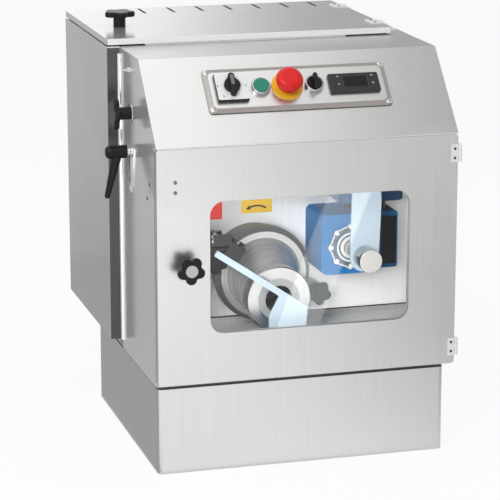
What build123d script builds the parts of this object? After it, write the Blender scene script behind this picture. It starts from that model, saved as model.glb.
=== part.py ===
from build123d import *
import os
from math import atan2, cos, degrees, hypot, pi, radians, sin, tan

# Dough divider with an auger hopper, a nozzle and a swinging knife. Millimetres.
# Pieces are drawn with X from the hood's left side to the right, Y from the door's face to the
# back and Z up from the floor. At the end they move so that the origin lies under the middle.

# Sheet work and fits
SHEET = 2.0             # steel sheet of hood, body, door, lid and covers
SEAM = 0.5              # gap between the base and the hood above it
RUNNING = 0.05          # radial clearance of a shaft or pin in its hole
SLIDING = 0.1           # radial clearance of a button or stud in its bore
CLEAR = 0.4             # gap between pieces that slide past each other
WIDE = 2.0              # gap round a shaft that passes through a wall

# Base and floor
BASE_WIDTH = 470.0
BASE_DEPTH = 425.0
BASE_HEIGHT = 138.0
BASE_SETBACK = 5.0      # base front behind the door's face
BASE_CORNER = 8.0
BASE_RIM = 24.0         # inward rims at the base's top and bottom
BOLT_HOLE = 4.5         # radius of the bolt-down holes in the lower rim
FLOOR_THICK = 4.0
FLOOR_SETBACK = 18.0
CHUTE_LEFT = 110.0
CHUTE_WIDTH = 230.0
CHUTE_FRONT = 30.0
CHUTE_DEPTH = 118.0
CHUTE_CORNER = 12.0
SLIDE_RISE = 36.0       # rise of the sloped rear floor up to the partition
SLIDE_LIP = 8.0
RAIL_WIDTH = 30.0       # rails that carry the hopper body on the floor
RAIL_INSET = 20.0

# Hood, partition and control tray
HOOD_WIDTH = 486.0
HOOD_DEPTH = 245.0
HOOD_TOP = 638.0
DOOR_LINE = 518.0       # height where the sloped face starts
SLOPE_RUN = 114.0
HOOD_BEND = 4.0
HOOD_EDGE = 1.4         # rounding of the slope's and the top strip's side edges
HOOD_LIP = 0.8          # rounding of the slope's lower edge
HOOD_ROLL = 5.0         # radius of the rolled rear edges of its side walls
HOOD_SETBACK = 17.0     # side walls start behind the door's flange
PARTITION_Y = 216.0
PARTITION_THICK = 4.0
TRAY_DROP = 6.0         # control tray under the slope's lower edge
TRAY_FRONT = 20.0
TRAY_LIP = 18.0
TRAY_FLANGE = 42.0

# Hopper body, deck, lid and rear cover
BODY_STEP = 20.0        # the body stands out this far past the hood's left side
BODY_DEPTH = 330.0
BODY_BOTTOM = 155.0
LID_TOP = 650.0
LID_WIDTH = 479.5
LID_HEM = 9.5
LID_SEAT = 2.5          # lid's hem above the deck
LID_FRONT_GAP = 1.0
LID_CORNER = 4.0
VENT_COUNT = 8
VENT_PITCH = 51.0
VENT_FIRST = 55.0
VENT_LENGTH = 60.0
VENT_WIDTH = 5.0
VENT_INSET = 9.0        # slot end to the lid's back edge
REAR_LEFT = 105.0
REAR_WIDTH = 260.0
REAR_DEPTH = 275.0
REAR_HEIGHT = 560.0
REAR_RIM = 15.0
LOUVRE_LENGTH = 90.0
LOUVRE_WIDTH = 6.0
LOUVRE_PITCH = 22.0
LOUVRE_COUNT = 6
LOUVRE_SIDE = 56.0      # louvre centres from the middle of the back wall
LOUVRE_Z = 380.0        # height of the lowest louvre

# Hopper and auger
AUGER_X = 211.5
AUGER_Z = 273.0
AUGER_RADIUS = 55.0
AUGER_PITCH = 80.0
AUGER_SHAFT = 20.0      # shaft radius
FLIGHT_THICK = 6.0
FLIGHT_SINK = 2.0       # flight's root inside the shaft
AUGER_GAP = 3.0         # flight to trough
AUGER_NOSE = 150.0      # front end of the shaft
AUGER_ROUND = 12.0
FLIGHT_FRONT = 168.0
HOPPER_FRONT = 262.0
HOPPER_LENGTH = 240.0
HOPPER_WIDTH = 304.0
HOPPER_NECK = 430.0     # height where the hopper starts to narrow
HOPPER_RIM = 16.0

# Barrel, cone and nozzle
BARREL_WALL = 12.0
FLANGE_RADIUS = 71.0
FLANGE_LIP = 8.0        # barrel flange stands out past the cone's flange
FLANGE_THICK = 10.0
CONE_FRONT = 84.0       # front end of the cone's neck
CONE_FLANGE_Y = 145.0   # front face of the cone's flange
CONE_NECK_WALL = 9.0
CONE_SHOULDER = 61.0    # cone radius where it leaves its flange
EAR_PITCH = 92.0        # clamp knob centre from the barrel's axis
EAR_RADIUS = 14.0
EAR_ANGLE = -20.0
NOZZLE_DROP = 19.0      # nozzle axis below the barrel's axis
NOZZLE_RADIUS = 53.0
NOZZLE_FRONT = 60.0
INSERT_RADIUS = 34.0
INSERT_BORE = 22.5
INSERT_PROUD = 1.0

# Knife and its drive
KNIFE_X = 351.0
KNIFE_Z = 315.0
KNIFE_SHAFT = 12.5
BLADE_Y = 54.0
BLADE_THICK = 3.0
BLADE_WIDTH = 48.0
BLADE_REACH = 178.0
BLADE_TIP_LEFT = 19.0   # blade's tip corners and belly from its middle line
BLADE_TIP_RIGHT = 21.5
BLADE_BELLY = 27.5
CAP_RADIUS = 18.5
CAP_LENGTH = 34.0
GEARBOX_LEFT = 48.0     # gearbox walls from the knife's axis
GEARBOX_RIGHT = 51.0
GEARBOX_BELOW = 46.0
GEARBOX_ABOVE = 53.0
GEARBOX_DEPTH = 88.0
GEARBOX_CORNER = 10.0
GEARBOX_BORE = 35.0     # depth of the shaft's bearing
COVER_THICK = 8.0
COVER_RADIUS = 34.0
COVER_LOBE_RADIUS = 6.0
COVER_BOSS = 25.5
COVER_LOBES = 8
WORM_OFFSET = 39.0      # worm axis to the right of the knife's axis
WORM_SIDE = 32.0        # worm case beside the main case
WORM_STEP = 5.0
NECK_RADIUS = 34.0
NECK_HEIGHT = 18.0
MOTOR_FLANGE_WIDTH = 110.0
MOTOR_FLANGE_THICK = 14.0
MOTOR_FLANGE_CORNER = 18.0
MOTOR_RADIUS = 37.0
MOTOR_FIN = 42.0
MOTOR_LENGTH = 104.0
FIN_PITCH = 9.0
FIN_THICK = 3.0
MOTOR_COWL = 25.0

# Auger drive behind the body
DRIVE_SIDE = 140.0
DRIVE_DEPTH = 90.0
DRIVE_CORNER = 16.0
DRIVE_BORE = 75.0
DRIVE_MOTOR_RADIUS = 60.0
DRIVE_MOTOR_FIN = 68.0
DRIVE_MOTOR_LENGTH = 150.0
DRIVE_FIN_PITCH = 14.0
DRIVE_FIN_THICK = 4.0
DRIVE_COWL = 41.0

# Door, window and door hardware
DOOR_BOTTOM = 144.0
DOOR_GAP = 1.0          # door top to the hood
DOOR_WIDTH = 485.5
DOOR_DEPTH = 16.0
DOOR_CORNER = 5.0
WINDOW_LEFT = 83.5
WINDOW_WIDTH = 323.0
WINDOW_BOTTOM = 223.5
WINDOW_HEIGHT = 209.0
WINDOW_CORNER = 22.0
PANE_MARGIN = 10.0
PANE_THICK = 4.0
FRAME_THICK = 4.0
HINGE_PIN = 1.6         # pin radius
HINGE_BARREL = 3.0
HINGE_LEAF = 1.5
HINGE_HEIGHT = 28.0
HINGE_REACH = 11.5      # leaf on the door's face
HINGE_TAIL = 30.0       # leaf along the hood's side
HINGE_OUT = 3.2         # hinge axis outside the door's edge
HINGE_IN = 1.0          # hinge axis behind the door's face
HINGE_LOW = 158.0
HINGE_HIGH = 472.5
KNUCKLE_GAP = 0.4
DOOR_KNOB_X = 47.0
DOOR_KNOB_Z = 333.0
SPINDLE = 5.0
LATCH_Y = 24.0
LATCH_THICK = 4.0
LATCH_REACH = 36.0
LATCH_WIDTH = 12.0
LATCH_EYE = 9.0
CATCH_REACH = 20.0
CATCH_HEIGHT = 40.0
CATCH_GAP = 2.0

# Lobed knobs
KNOB_LOBES = 5
KNOB_CORE_RADIUS = 12.0
KNOB_PITCH = 13.6       # lobe centres from the knob's axis
KNOB_LOBE_RADIUS = 8.4
KNOB_HEAD = 9.0
KNOB_HUB = 10.0
KNOB_STEM = 20.0
KNOB_ROUND = 2.5
KNOB_VALLEY = 4.0       # rounding between the lobes
KNOB_CAP = 9.5          # light cap in the middle of the knob
KNOB_CAP_THICK = 1.6
KNOB_FOOT = 0.4         # knob foot to its wall
CONE_KNOB_SCALE = 0.91
LARGE_KNOB = 1.16       # heads of the lid's and the side wall's knobs
CONE_STUD = 4.0

# Lid hardware
LID_HINGE_FRONT = 290.0
LID_HINGE_BACK = 485.0
LID_HINGE_LENGTH = 40.0
LID_HINGE_OUT = 4.5     # hinge axis outside the lid's edge
LID_HINGE_DROP = 4.5    # hinge axis under the lid's top
LID_BARREL = 4.0
LID_PIN = 2.0
LID_LEAF_REACH = 20.0
LID_POST_REACH = 18.0
LID_KNOB_X = 30.0
LID_KNOB_Y = 375.0
LID_KNOB_STEM = 16.0
LID_NUT_RADIUS = 9.0
LID_NUT_HEIGHT = 5.0

# Side wall hardware and portion flap
SIDE_Y = 170.0          # slot, lever and side knob behind the door's face
SIDE_KNOB_Z = 544.0
SIDE_STUD = 4.0
SIDE_STUD_DEPTH = 12.0
LEVER_Z = 483.0
LEVER_TRAVEL = 45.0
LEVER_HUB = 10.5
LEVER_HUB_LENGTH = 34.0
LEVER_NOSE = 7.0        # rounding of the hub's outer end
LEVER_ARM = 70.0
LEVER_ROOT = 20.0       # arm from the hub's outer end, at the stud's axis
LEVER_TUCK = 2.5        # arm's tip inside the hub's outer end
LEVER_THICK = 8.2
LEVER_TIP = 4.5
LEVER_STUD = 5.0
COLLAR_RISE = 2.5       # oval collar round the slot, outwards
COLLAR_HALF = 27.0      # its half width
COLLAR_DROP = 68.0      # its foot under the lever's stud
COLLAR_TOP = 9.0        # its flat top above the lever's stud
COLLAR_BEVEL = 1.5
WASHER_RADIUS = 8.5
WASHER_THICK = 2.5
NUT_RADIUS = 7.0
GUIDE_WIDTH = 7.0
GUIDE_THICK = 4.0
CARRIAGE_WIDTH = 30.0
CARRIAGE_ABOVE = 22.0
CARRIAGE_BELOW = 28.0
ARM_THICK = 4.0
PIVOT_Y = 46.0
PIVOT_Z = 345.0
PIVOT_ROD = 5.0
PIVOT_BOSS = 11.0
PIVOT_BOSS_LENGTH = 20.0
BRACKET_Y = 60.0
BRACKET_THICK = 4.0
BRACKET_END = 118.0
SENSOR_X = 108.0
SENSOR_Z = 362.0
SENSOR_RADIUS = 6.0
SENSOR_FRONT = 43.5
SENSOR_LENGTH = 48.0
SENSOR_NUT = 9.0
CABLE_RADIUS = 2.5
CABLE_RUN = 23.0        # straight lead behind the sensor
CABLE_LOWER_ARC = 20.7
CABLE_UPPER_ARC = 46.0
CABLE_LEAN = 10.0
FLAP_THICK = 4.0
FLAP_FRONT = 33.0
FLAP_ARM_X = 104.0      # upper left corner of the flap's arm
FLAP_ARM_Z = 347.0
FLAP_ARM_WIDTH = 10.0
FLAP_RIGHT = 251.0      # lower end of the arm's upper edge
FLAP_SHOULDER = 246.5
FLAP_NOTCH = 204.0      # where the plate leaves the arm's lower edge
FLAP_LEFT = 187.5
FLAP_KNEE = 235.0
FLAP_BOTTOM = 192.0
FLAP_TAPER = 5.0
FLAP_ROUND = 2.0
CLAMP_START = 13.0      # clamp block from the arm's upper left corner, along the arm
CLAMP_LENGTH = 28.0
CLAMP_DEPTH = 19.0
CLAMP_LAP = 6.0         # clamp over the arm
CLAMP_RISE = 24.0       # clamp above the arm's upper edge
CLAMP_ROUND = 2.0
CLAMP_BOLT = 5.0
CLAMP_BOLT_HEIGHT = 6.0
TARGET_LEFT = 99.0
TARGET_TOP = 371.0
TARGET_BOTTOM = 353.0

# Control face, measured from the left along the slope and up from its lower edge
PANEL_U = 242.5
PANEL_V = 98.0
PANEL_WIDTH = 296.0
PANEL_HEIGHT = 81.0
PANEL_BORDER = 7.5
PANEL_LAND = 0.8        # flat of the border next to the plate
PANEL_EDGE = 1.6        # border's outer rim, from where it rises to the plate's face
PANEL_CORNER = 6.0
PLATE_THICK = 5.0
PLATE_CORNER = 8.0
PLATE_GAP = 0.2
CUTOUT_MARGIN = 7.0     # control plate laps over the hood's cut-out
SWITCH_U = 135.0
SWITCH_V = 100.5
SWITCH_SIDE = 50.0
SWITCH_BASE = 5.0
SWITCH_FACE = 49.0
SWITCH_FACE_THICK = 2.0
SWITCH_BLOCK = 36.0
SWITCH_BLOCK_DEPTH = 52.0
HANDLE_RADIUS = 12.8
HANDLE_THICK = 5.0
HANDLE_GRIP = 10.0
HANDLE_GRIP_LENGTH = 39.0
HANDLE_HEIGHT = 9.5
HANDLE_SPINDLE = 4.0
START_U = 182.0
STOP_U = 225.0
SELECTOR_U = 268.0
BUTTON_V = 99.5
BEZEL_RADIUS = 15.3
BEZEL_HEIGHT = 7.0
BUTTON_RADIUS = 12.4
BUTTON_PROUD = 1.5
BUTTON_TRAVEL = 4.0
STEM_RADIUS = 11.0
STEM_DEPTH = 38.0
STOP_DISC = 25.0
STOP_DISC_THICK = 2.5
STOP_SKIRT = 17.0       # radius of the head's lower step
STOP_SKIRT_HEIGHT = 7.5
STOP_STEM = 9.0
STOP_RADIUS = 21.5
STOP_HEIGHT = 13.5
STOP_DOME = 9.5         # rounding of the head's upper edge
STOP_CHAMFER = 2.0
STOP_TRAVEL = 4.0
GRIP_WIDTH = 7.0
GRIP_HEIGHT = 11.0
CASE_U = 333.0
CASE_V = 98.0
CASE_WIDTH = 82.0
CASE_HEIGHT = 35.0
CASE_RISE = 5.0
CASE_CORNER = 3.0
CASE_BODY_WIDTH = 70.5
CASE_BODY_HEIGHT = 28.5
CASE_BODY_DEPTH = 50.0
DISPLAY_SHIFT = 2.0
DISPLAY_WIDTH = 40.0
DISPLAY_HEIGHT = 19.5
DISPLAY_THICK = 1.0
KEY_RADIUS = 2.8
KEY_TRAVEL = 0.8
KEY_HEIGHT = 1.6
KEY_U = 27.8
KEY_V = 7.0
KEY_LIFT = 4.0          # keys sit above the case's middle
DISPLAY_LIFT = 1.5

# Values worked out from the sizes above
FLOOR_TOP = BASE_HEIGHT + FLOOR_THICK
HOOD_FOOT = BASE_HEIGHT + SEAM
HOOD_INSIDE = HOOD_WIDTH - SHEET
BODY_BACK = HOOD_DEPTH + BODY_DEPTH
BODY_RIGHT = HOOD_WIDTH
HOOD_CEILING = HOOD_TOP - SHEET
DECK_TOP = LID_TOP - LID_HEM - LID_SEAT
DECK_BOTTOM = DECK_TOP - SHEET
MACHINE_BACK = BODY_BACK + REAR_DEPTH
LID_FRONT = HOOD_DEPTH + LID_FRONT_GAP
LID_RIGHT = LID_WIDTH - BODY_STEP
TROUGH_RADIUS = AUGER_RADIUS + AUGER_GAP
BARREL_RADIUS = TROUGH_RADIUS + BARREL_WALL
BARREL_FLANGE_Y = CONE_FLANGE_Y + FLANGE_THICK
NOZZLE_Z = AUGER_Z - NOZZLE_DROP
HOPPER_BACK = HOPPER_FRONT + HOPPER_LENGTH
COVER_Y = PARTITION_Y - GEARBOX_DEPTH - COVER_THICK
GEARBOX_Y = PARTITION_Y - GEARBOX_DEPTH
WORM_X = KNIFE_X + WORM_OFFSET
WORM_Y = PARTITION_Y - GEARBOX_DEPTH / 2
MOTOR_FOOT = KNIFE_Z + GEARBOX_ABOVE
DOOR_TOP = DOOR_LINE - DOOR_GAP
TRAY_Z = DOOR_LINE - TRAY_DROP
HINGE_X = DOOR_WIDTH + HINGE_OUT
LID_HINGE_X = LID_RIGHT + LID_HINGE_OUT
LID_HINGE_Z = LID_TOP - LID_HINGE_DROP
KNOB_LENGTH = KNOB_FOOT + KNOB_STEM + KNOB_HEAD
PANEL_INSIDE_WIDTH = PANEL_WIDTH - 2 * PANEL_BORDER
PANEL_INSIDE_HEIGHT = PANEL_HEIGHT - 2 * PANEL_BORDER
FLAP_ANGLE = atan2(FLAP_ARM_Z - FLAP_SHOULDER, FLAP_RIGHT - FLAP_ARM_X)
SLOPE_RISE = HOOD_TOP - DOOR_LINE
SLOPE_ANGLE = atan2(SLOPE_RISE, SLOPE_RUN)
LEVER_FOOT = COLLAR_RISE + 2 * WASHER_THICK
LEVER_OUT = LEVER_FOOT + LEVER_HUB_LENGTH
SIDE_REACH = LEVER_OUT - LEVER_TUCK + LEVER_TIP
FRONT_REACH = KNOB_LENGTH + KNOB_CAP_THICK
HINGE_SIDE = HINGE_X + HINGE_BARREL
SHIFT_X = (SIDE_REACH - HINGE_SIDE) / 2
SHIFT_Y = (FRONT_REACH - MACHINE_BACK) / 2

# Face of the slope: first axis to the right, second up the slope, third outwards
SLOPE = Plane((0, 0, DOOR_LINE), (1, 0, 0), (0, -sin(SLOPE_ANGLE), cos(SLOPE_ANGLE)))
UP_FROM = (Align.CENTER, Align.CENTER, Align.MIN)


def block(x0, x1, y0, y1, z0, z1):
    """Box between two corners."""
    return Pos((x0 + x1) / 2, (y0 + y1) / 2, (z0 + z1) / 2) * Box(x1 - x0, y1 - y0, z1 - z0)


def rod_x(x0, x1, y, z, radius):
    """Round bar along X."""
    return Pos(x0, y, z) * Rot(0, 90, 0) * Cylinder(radius, x1 - x0, align=UP_FROM)


def rod_y(x, y0, y1, z, radius):
    """Round bar along Y."""
    return Pos(x, y0, z) * Rot(-90, 0, 0) * Cylinder(radius, y1 - y0, align=UP_FROM)


def rod_z(x, y, z0, z1, radius):
    """Round bar along Z."""
    return Pos(x, y, z0) * Cylinder(radius, z1 - z0, align=UP_FROM)


def plate_xz(sketch, front, back):
    """Plate seen from the front: drawn in X and Z, thick along Y."""
    return extrude(Plane((0, back, 0), (1, 0, 0), (0, -1, 0)) * sketch, back - front)


def plate_yz(sketch, left, right):
    """Plate seen from the side: drawn in Y and Z, thick along X."""
    return extrude(Plane((left, 0, 0), (0, 1, 0), (1, 0, 0)) * sketch, right - left)


def plate_xy(sketch, bottom, top):
    """Plate seen from above: drawn in X and Y, thick along Z."""
    return extrude(Pos(0, 0, bottom) * sketch, top - bottom)


def polygon(*points):
    """Closed outline through the points."""
    return make_face(Polyline(*points, close=True))


def panel(left, bottom, width, height, corner):
    """Rectangle with round corners, from its lower left corner."""
    return Pos(left + width / 2, bottom + height / 2) * RectangleRounded(width, height, corner)


def ring_y(x, z, front, back, outer, inner):
    """Tube along Y."""
    return plate_xz(Pos(x, z) * (Circle(outer) - Circle(inner)), front, back)


def on_slope(shape, u, v, w=0.0):
    """Place a shape drawn upright at the origin on the sloped face."""
    return SLOPE.location * Pos(u, v, w) * shape


def lobed_knob(stud_radius, stud_length, size=1.0, spread=1.0, stem_length=KNOB_STEM):
    """Five-lobed knob along +Z with its foot near the origin and its stud below."""
    wide = size * spread
    outline = Circle(KNOB_CORE_RADIUS * wide)
    for spot in PolarLocations(KNOB_PITCH * wide, KNOB_LOBES, start_angle=-90):
        outline += spot * Circle(KNOB_LOBE_RADIUS * wide)
    outline = fillet(outline.vertices(), KNOB_VALLEY * wide)
    head_foot = KNOB_FOOT + stem_length * size
    head = plate_xy(outline, head_foot, head_foot + KNOB_HEAD * size)
    head = fillet(head.faces().filter_by(Axis.Z).edges(), KNOB_ROUND * size)
    stem = rod_z(0, 0, KNOB_FOOT, head_foot + KNOB_ROUND, KNOB_HUB * size)
    stud = rod_z(0, 0, -stud_length, head_foot, stud_radius)
    return head + stem + stud


# Base and floor

def base_skirt():
    outer = panel(0, BASE_SETBACK, BASE_WIDTH, BASE_DEPTH, BASE_CORNER)
    hollow = panel(SHEET, BASE_SETBACK + SHEET, BASE_WIDTH - 2 * SHEET, BASE_DEPTH - 2 * SHEET,
                   BASE_CORNER - SHEET)
    mouth = panel(BASE_RIM, BASE_SETBACK + BASE_RIM, BASE_WIDTH - 2 * BASE_RIM, BASE_DEPTH - 2 * BASE_RIM,
                  BASE_CORNER)
    skirt = plate_xy(outer, 0, BASE_HEIGHT) - plate_xy(hollow, SHEET, BASE_HEIGHT - SHEET)
    skirt -= plate_xy(mouth, 0, BASE_HEIGHT)
    for x in (BASE_RIM / 2, BASE_WIDTH - BASE_RIM / 2):
        for y in (BASE_RIM / 2, BASE_DEPTH - BASE_RIM / 2):
            skirt -= rod_z(x, BASE_SETBACK + y, 0, SHEET, BOLT_HOLE)
    return skirt


def floor_plate():
    back = BASE_SETBACK + BASE_DEPTH
    plate = block(SHEET, HOOD_INSIDE, FLOOR_SETBACK, back, BASE_HEIGHT, FLOOR_TOP)
    chute = panel(CHUTE_LEFT, CHUTE_FRONT, CHUTE_WIDTH, CHUTE_DEPTH, CHUTE_CORNER)
    plate -= plate_xy(chute, BASE_HEIGHT, FLOOR_TOP)
    for left in (RAIL_INSET, BASE_WIDTH - RAIL_INSET - RAIL_WIDTH):
        plate += block(left, left + RAIL_WIDTH, HOOD_DEPTH, back, FLOOR_TOP, BODY_BOTTOM)
    return plate


def chute_slide():
    foot = CHUTE_FRONT + CHUTE_DEPTH
    top = FLOOR_TOP + SLIDE_RISE
    slope = hypot(PARTITION_Y - foot, SLIDE_RISE)
    drop = SHEET * slope / (PARTITION_Y - foot)
    profile = polygon((PARTITION_Y, top + SLIDE_LIP), (PARTITION_Y - SHEET, top + SLIDE_LIP),
                      (PARTITION_Y - SHEET, top), (foot, FLOOR_TOP + drop), (foot, FLOOR_TOP),
                      (foot + SHEET, FLOOR_TOP), (PARTITION_Y, top - drop))
    return plate_yz(profile, SHEET + CLEAR, HOOD_INSIDE - CLEAR)


# Hood, partition and control tray

def slot_outline(radius):
    """Vertical slot for the lever's stud, drawn in Y and Z."""
    middle = LEVER_Z - LEVER_TRAVEL / 2
    return Pos(SIDE_Y, middle) * Rot(0, 0, 90) * SlotCenterToCenter(LEVER_TRAVEL, 2 * radius)


def slot_collar():
    """Raised collar round the slot: an oval cut flat behind the lever's washers."""
    outline = Pos(SIDE_Y, LEVER_Z) * Ellipse(COLLAR_HALF, COLLAR_DROP)
    top = LEVER_Z + COLLAR_TOP
    outline -= Pos(SIDE_Y, top + COLLAR_DROP) * Rectangle(2 * COLLAR_HALF, 2 * COLLAR_DROP)
    collar = plate_yz(outline, -COLLAR_RISE, 0)
    return chamfer(collar.faces().sort_by(Axis.X)[0].edges(), COLLAR_BEVEL)


def hood_profiles():
    """Outer and inner side views of the hood."""
    outer = polygon((HOOD_SETBACK, HOOD_FOOT), (HOOD_DEPTH, HOOD_FOOT), (HOOD_DEPTH, HOOD_TOP),
                    (SLOPE_RUN, HOOD_TOP), (0, DOOR_LINE), (HOOD_SETBACK, DOOR_LINE))
    outer = fillet(outer.vertices().sort_by_distance((SLOPE_RUN, HOOD_TOP))[:1], HOOD_BEND)
    outer = fillet(outer.vertices().sort_by_distance((0, DOOR_LINE))[:1], HOOD_LIP)
    shift = SHEET / sin(SLOPE_ANGLE)
    bend = SLOPE_RUN + shift - SHEET * SLOPE_RUN / SLOPE_RISE
    inner = polygon((shift, 0), (HOOD_DEPTH, 0), (HOOD_DEPTH, HOOD_CEILING), (bend, HOOD_CEILING),
                    (shift, DOOR_LINE))
    inner = fillet(inner.vertices().sort_by_distance((bend, HOOD_CEILING))[:1], HOOD_BEND - SHEET)
    return outer, inner


def front_hood():
    outer, inner = hood_profiles()
    hood = plate_yz(outer, 0, HOOD_WIDTH)
    sides = hood.faces().filter_by(Axis.X).edges()
    hood = fillet([edge for edge in sides if edge.center().Z > DOOR_LINE], HOOD_EDGE)
    hood -= plate_yz(inner, SHEET, HOOD_INSIDE)
    cutout = Rectangle(PANEL_INSIDE_WIDTH - 2 * CUTOUT_MARGIN, PANEL_INSIDE_HEIGHT - 2 * CUTOUT_MARGIN)
    hood -= on_slope(extrude(cutout, 2 * SHEET, both=True), PANEL_U, PANEL_V)
    hood += slot_collar()
    hood -= plate_yz(slot_outline(LEVER_STUD + CLEAR), -COLLAR_RISE, SHEET)
    hood -= rod_x(0, SHEET, SIDE_Y, SIDE_KNOB_Z, SIDE_STUD + SLIDING)
    guide_foot = LEVER_Z - LEVER_TRAVEL - CARRIAGE_BELOW
    guide_head = LEVER_Z + CARRIAGE_ABOVE
    for side in (-1, 1):
        near = SIDE_Y + side * (CARRIAGE_WIDTH / 2 + CLEAR)
        far = near + side * GUIDE_WIDTH
        hood += block(SHEET, SHEET + GUIDE_THICK, min(near, far), max(near, far), guide_foot, guide_head)
    for x in (0, HOOD_WIDTH):
        hood += rod_z(x, HOOD_DEPTH - HOOD_ROLL, BODY_BOTTOM, HOOD_TOP - 2 * HOOD_ROLL, HOOD_ROLL)
    return hood + catch()


def catch():
    """Bracket on the hood's left wall that the door latch turns behind."""
    front = LATCH_Y - CATCH_GAP - SHEET
    low = DOOR_KNOB_Z - CATCH_HEIGHT / 2
    high = DOOR_KNOB_Z + CATCH_HEIGHT / 2
    leg = block(SHEET, 2 * SHEET, front, front + CATCH_REACH, low, high)
    return leg + block(SHEET, SHEET + CATCH_REACH, front, front + SHEET, low, high)


def partition():
    back = PARTITION_Y + PARTITION_THICK
    plate = block(SHEET, HOOD_INSIDE, PARTITION_Y, back, FLOOR_TOP, HOOD_CEILING)
    return plate - rod_y(AUGER_X, PARTITION_Y, back, AUGER_Z, BARREL_RADIUS + SLIDING)


def control_tray():
    top = TRAY_Z + SHEET
    tray = block(SHEET, HOOD_INSIDE, TRAY_FRONT, PARTITION_Y, TRAY_Z, top)
    tray += block(SHEET, HOOD_INSIDE, TRAY_FRONT, TRAY_FRONT + SHEET, top, top + TRAY_LIP)
    for left in (SHEET, HOOD_INSIDE - SHEET):
        tray += block(left, left + SHEET, 2 * TRAY_FRONT, PARTITION_Y, top, top + TRAY_FLANGE)
    return tray - rod_x(SHEET, 2 * SHEET, SIDE_Y, SIDE_KNOB_Z, SIDE_STUD + SLIDING)


# Hopper body, deck, lid and rear cover

def body_shell():
    shell = block(-BODY_STEP, BODY_RIGHT, HOOD_DEPTH, BODY_BACK, BODY_BOTTOM, DECK_BOTTOM)
    shell -= block(SHEET - BODY_STEP, BODY_RIGHT - SHEET, HOOD_DEPTH + SHEET, BODY_BACK - SHEET,
                   BODY_BOTTOM + SHEET, DECK_BOTTOM)
    shell -= rod_y(AUGER_X, HOOD_DEPTH, HOOD_DEPTH + SHEET, AUGER_Z, BARREL_RADIUS + SLIDING)
    return shell - rod_y(AUGER_X, BODY_BACK - SHEET, BODY_BACK, AUGER_Z, AUGER_SHAFT + WIDE)


def top_deck():
    deck = block(-BODY_STEP, BODY_RIGHT, HOOD_DEPTH, BODY_BACK, DECK_BOTTOM, DECK_TOP)
    half = HOPPER_WIDTH / 2 + CLEAR
    return deck - block(AUGER_X - half, AUGER_X + half, HOPPER_FRONT - CLEAR, HOPPER_BACK + CLEAR,
                        DECK_BOTTOM, DECK_TOP)


def hopper_section(half_width, radius, top):
    """Cross-section of the hopper: straight upper walls that narrow to a round trough."""
    right = AUGER_X + half_width
    left = AUGER_X - half_width
    ends = [(AUGER_X + radius, AUGER_Z), (AUGER_X - radius, AUGER_Z)]
    walls = Polyline(ends[1], (left, HOPPER_NECK), (left, top), (right, top), (right, HOPPER_NECK), ends[0])
    trough = ThreePointArc(ends[0], (AUGER_X, AUGER_Z - radius), ends[1])
    return make_face(Wire([*walls.edges(), trough.edge()]))


def hopper():
    top = DECK_TOP + SHEET
    half = HOPPER_WIDTH / 2
    inner = half - SHEET
    rim = half + HOPPER_RIM
    tub = plate_xz(hopper_section(half, TROUGH_RADIUS + SHEET, top), HOPPER_FRONT, HOPPER_BACK)
    tub += block(AUGER_X - rim, AUGER_X + rim, HOPPER_FRONT - HOPPER_RIM + SHEET, HOPPER_BACK + HOPPER_RIM,
                 DECK_TOP, top)
    tub -= plate_xz(hopper_section(inner, TROUGH_RADIUS, top), HOPPER_FRONT + SHEET, HOPPER_BACK - SHEET)
    tub -= rod_y(AUGER_X, HOPPER_FRONT, HOPPER_FRONT + SHEET, AUGER_Z, TROUGH_RADIUS)
    return tub - rod_y(AUGER_X, HOPPER_BACK - SHEET, HOPPER_BACK, AUGER_Z, AUGER_SHAFT + WIDE)


def lid_panel():
    outer = panel(-BODY_STEP, LID_FRONT, LID_WIDTH, BODY_BACK - LID_FRONT, LID_CORNER)
    inner = panel(SHEET - BODY_STEP, LID_FRONT + SHEET, LID_WIDTH - 2 * SHEET,
                  BODY_BACK - LID_FRONT - 2 * SHEET, LID_CORNER - SHEET)
    lid = plate_xy(outer, LID_TOP - LID_HEM, LID_TOP) - plate_xy(inner, LID_TOP - LID_HEM, LID_TOP - SHEET)
    lid = fillet(lid.faces().sort_by(Axis.Z)[-1].outer_wire().edges(), SHEET / 2)
    middle = BODY_BACK - VENT_INSET - VENT_LENGTH / 2
    vent = Rot(0, 0, 90) * SlotOverall(VENT_LENGTH, VENT_WIDTH)
    for number in range(VENT_COUNT):
        spot = Pos(VENT_FIRST + number * VENT_PITCH, middle)
        lid -= plate_xy(spot * vent, LID_TOP - SHEET, LID_TOP)
    return lid - rod_z(LID_KNOB_X, LID_KNOB_Y, LID_TOP - SHEET, LID_TOP, SIDE_STUD + SLIDING)


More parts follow.
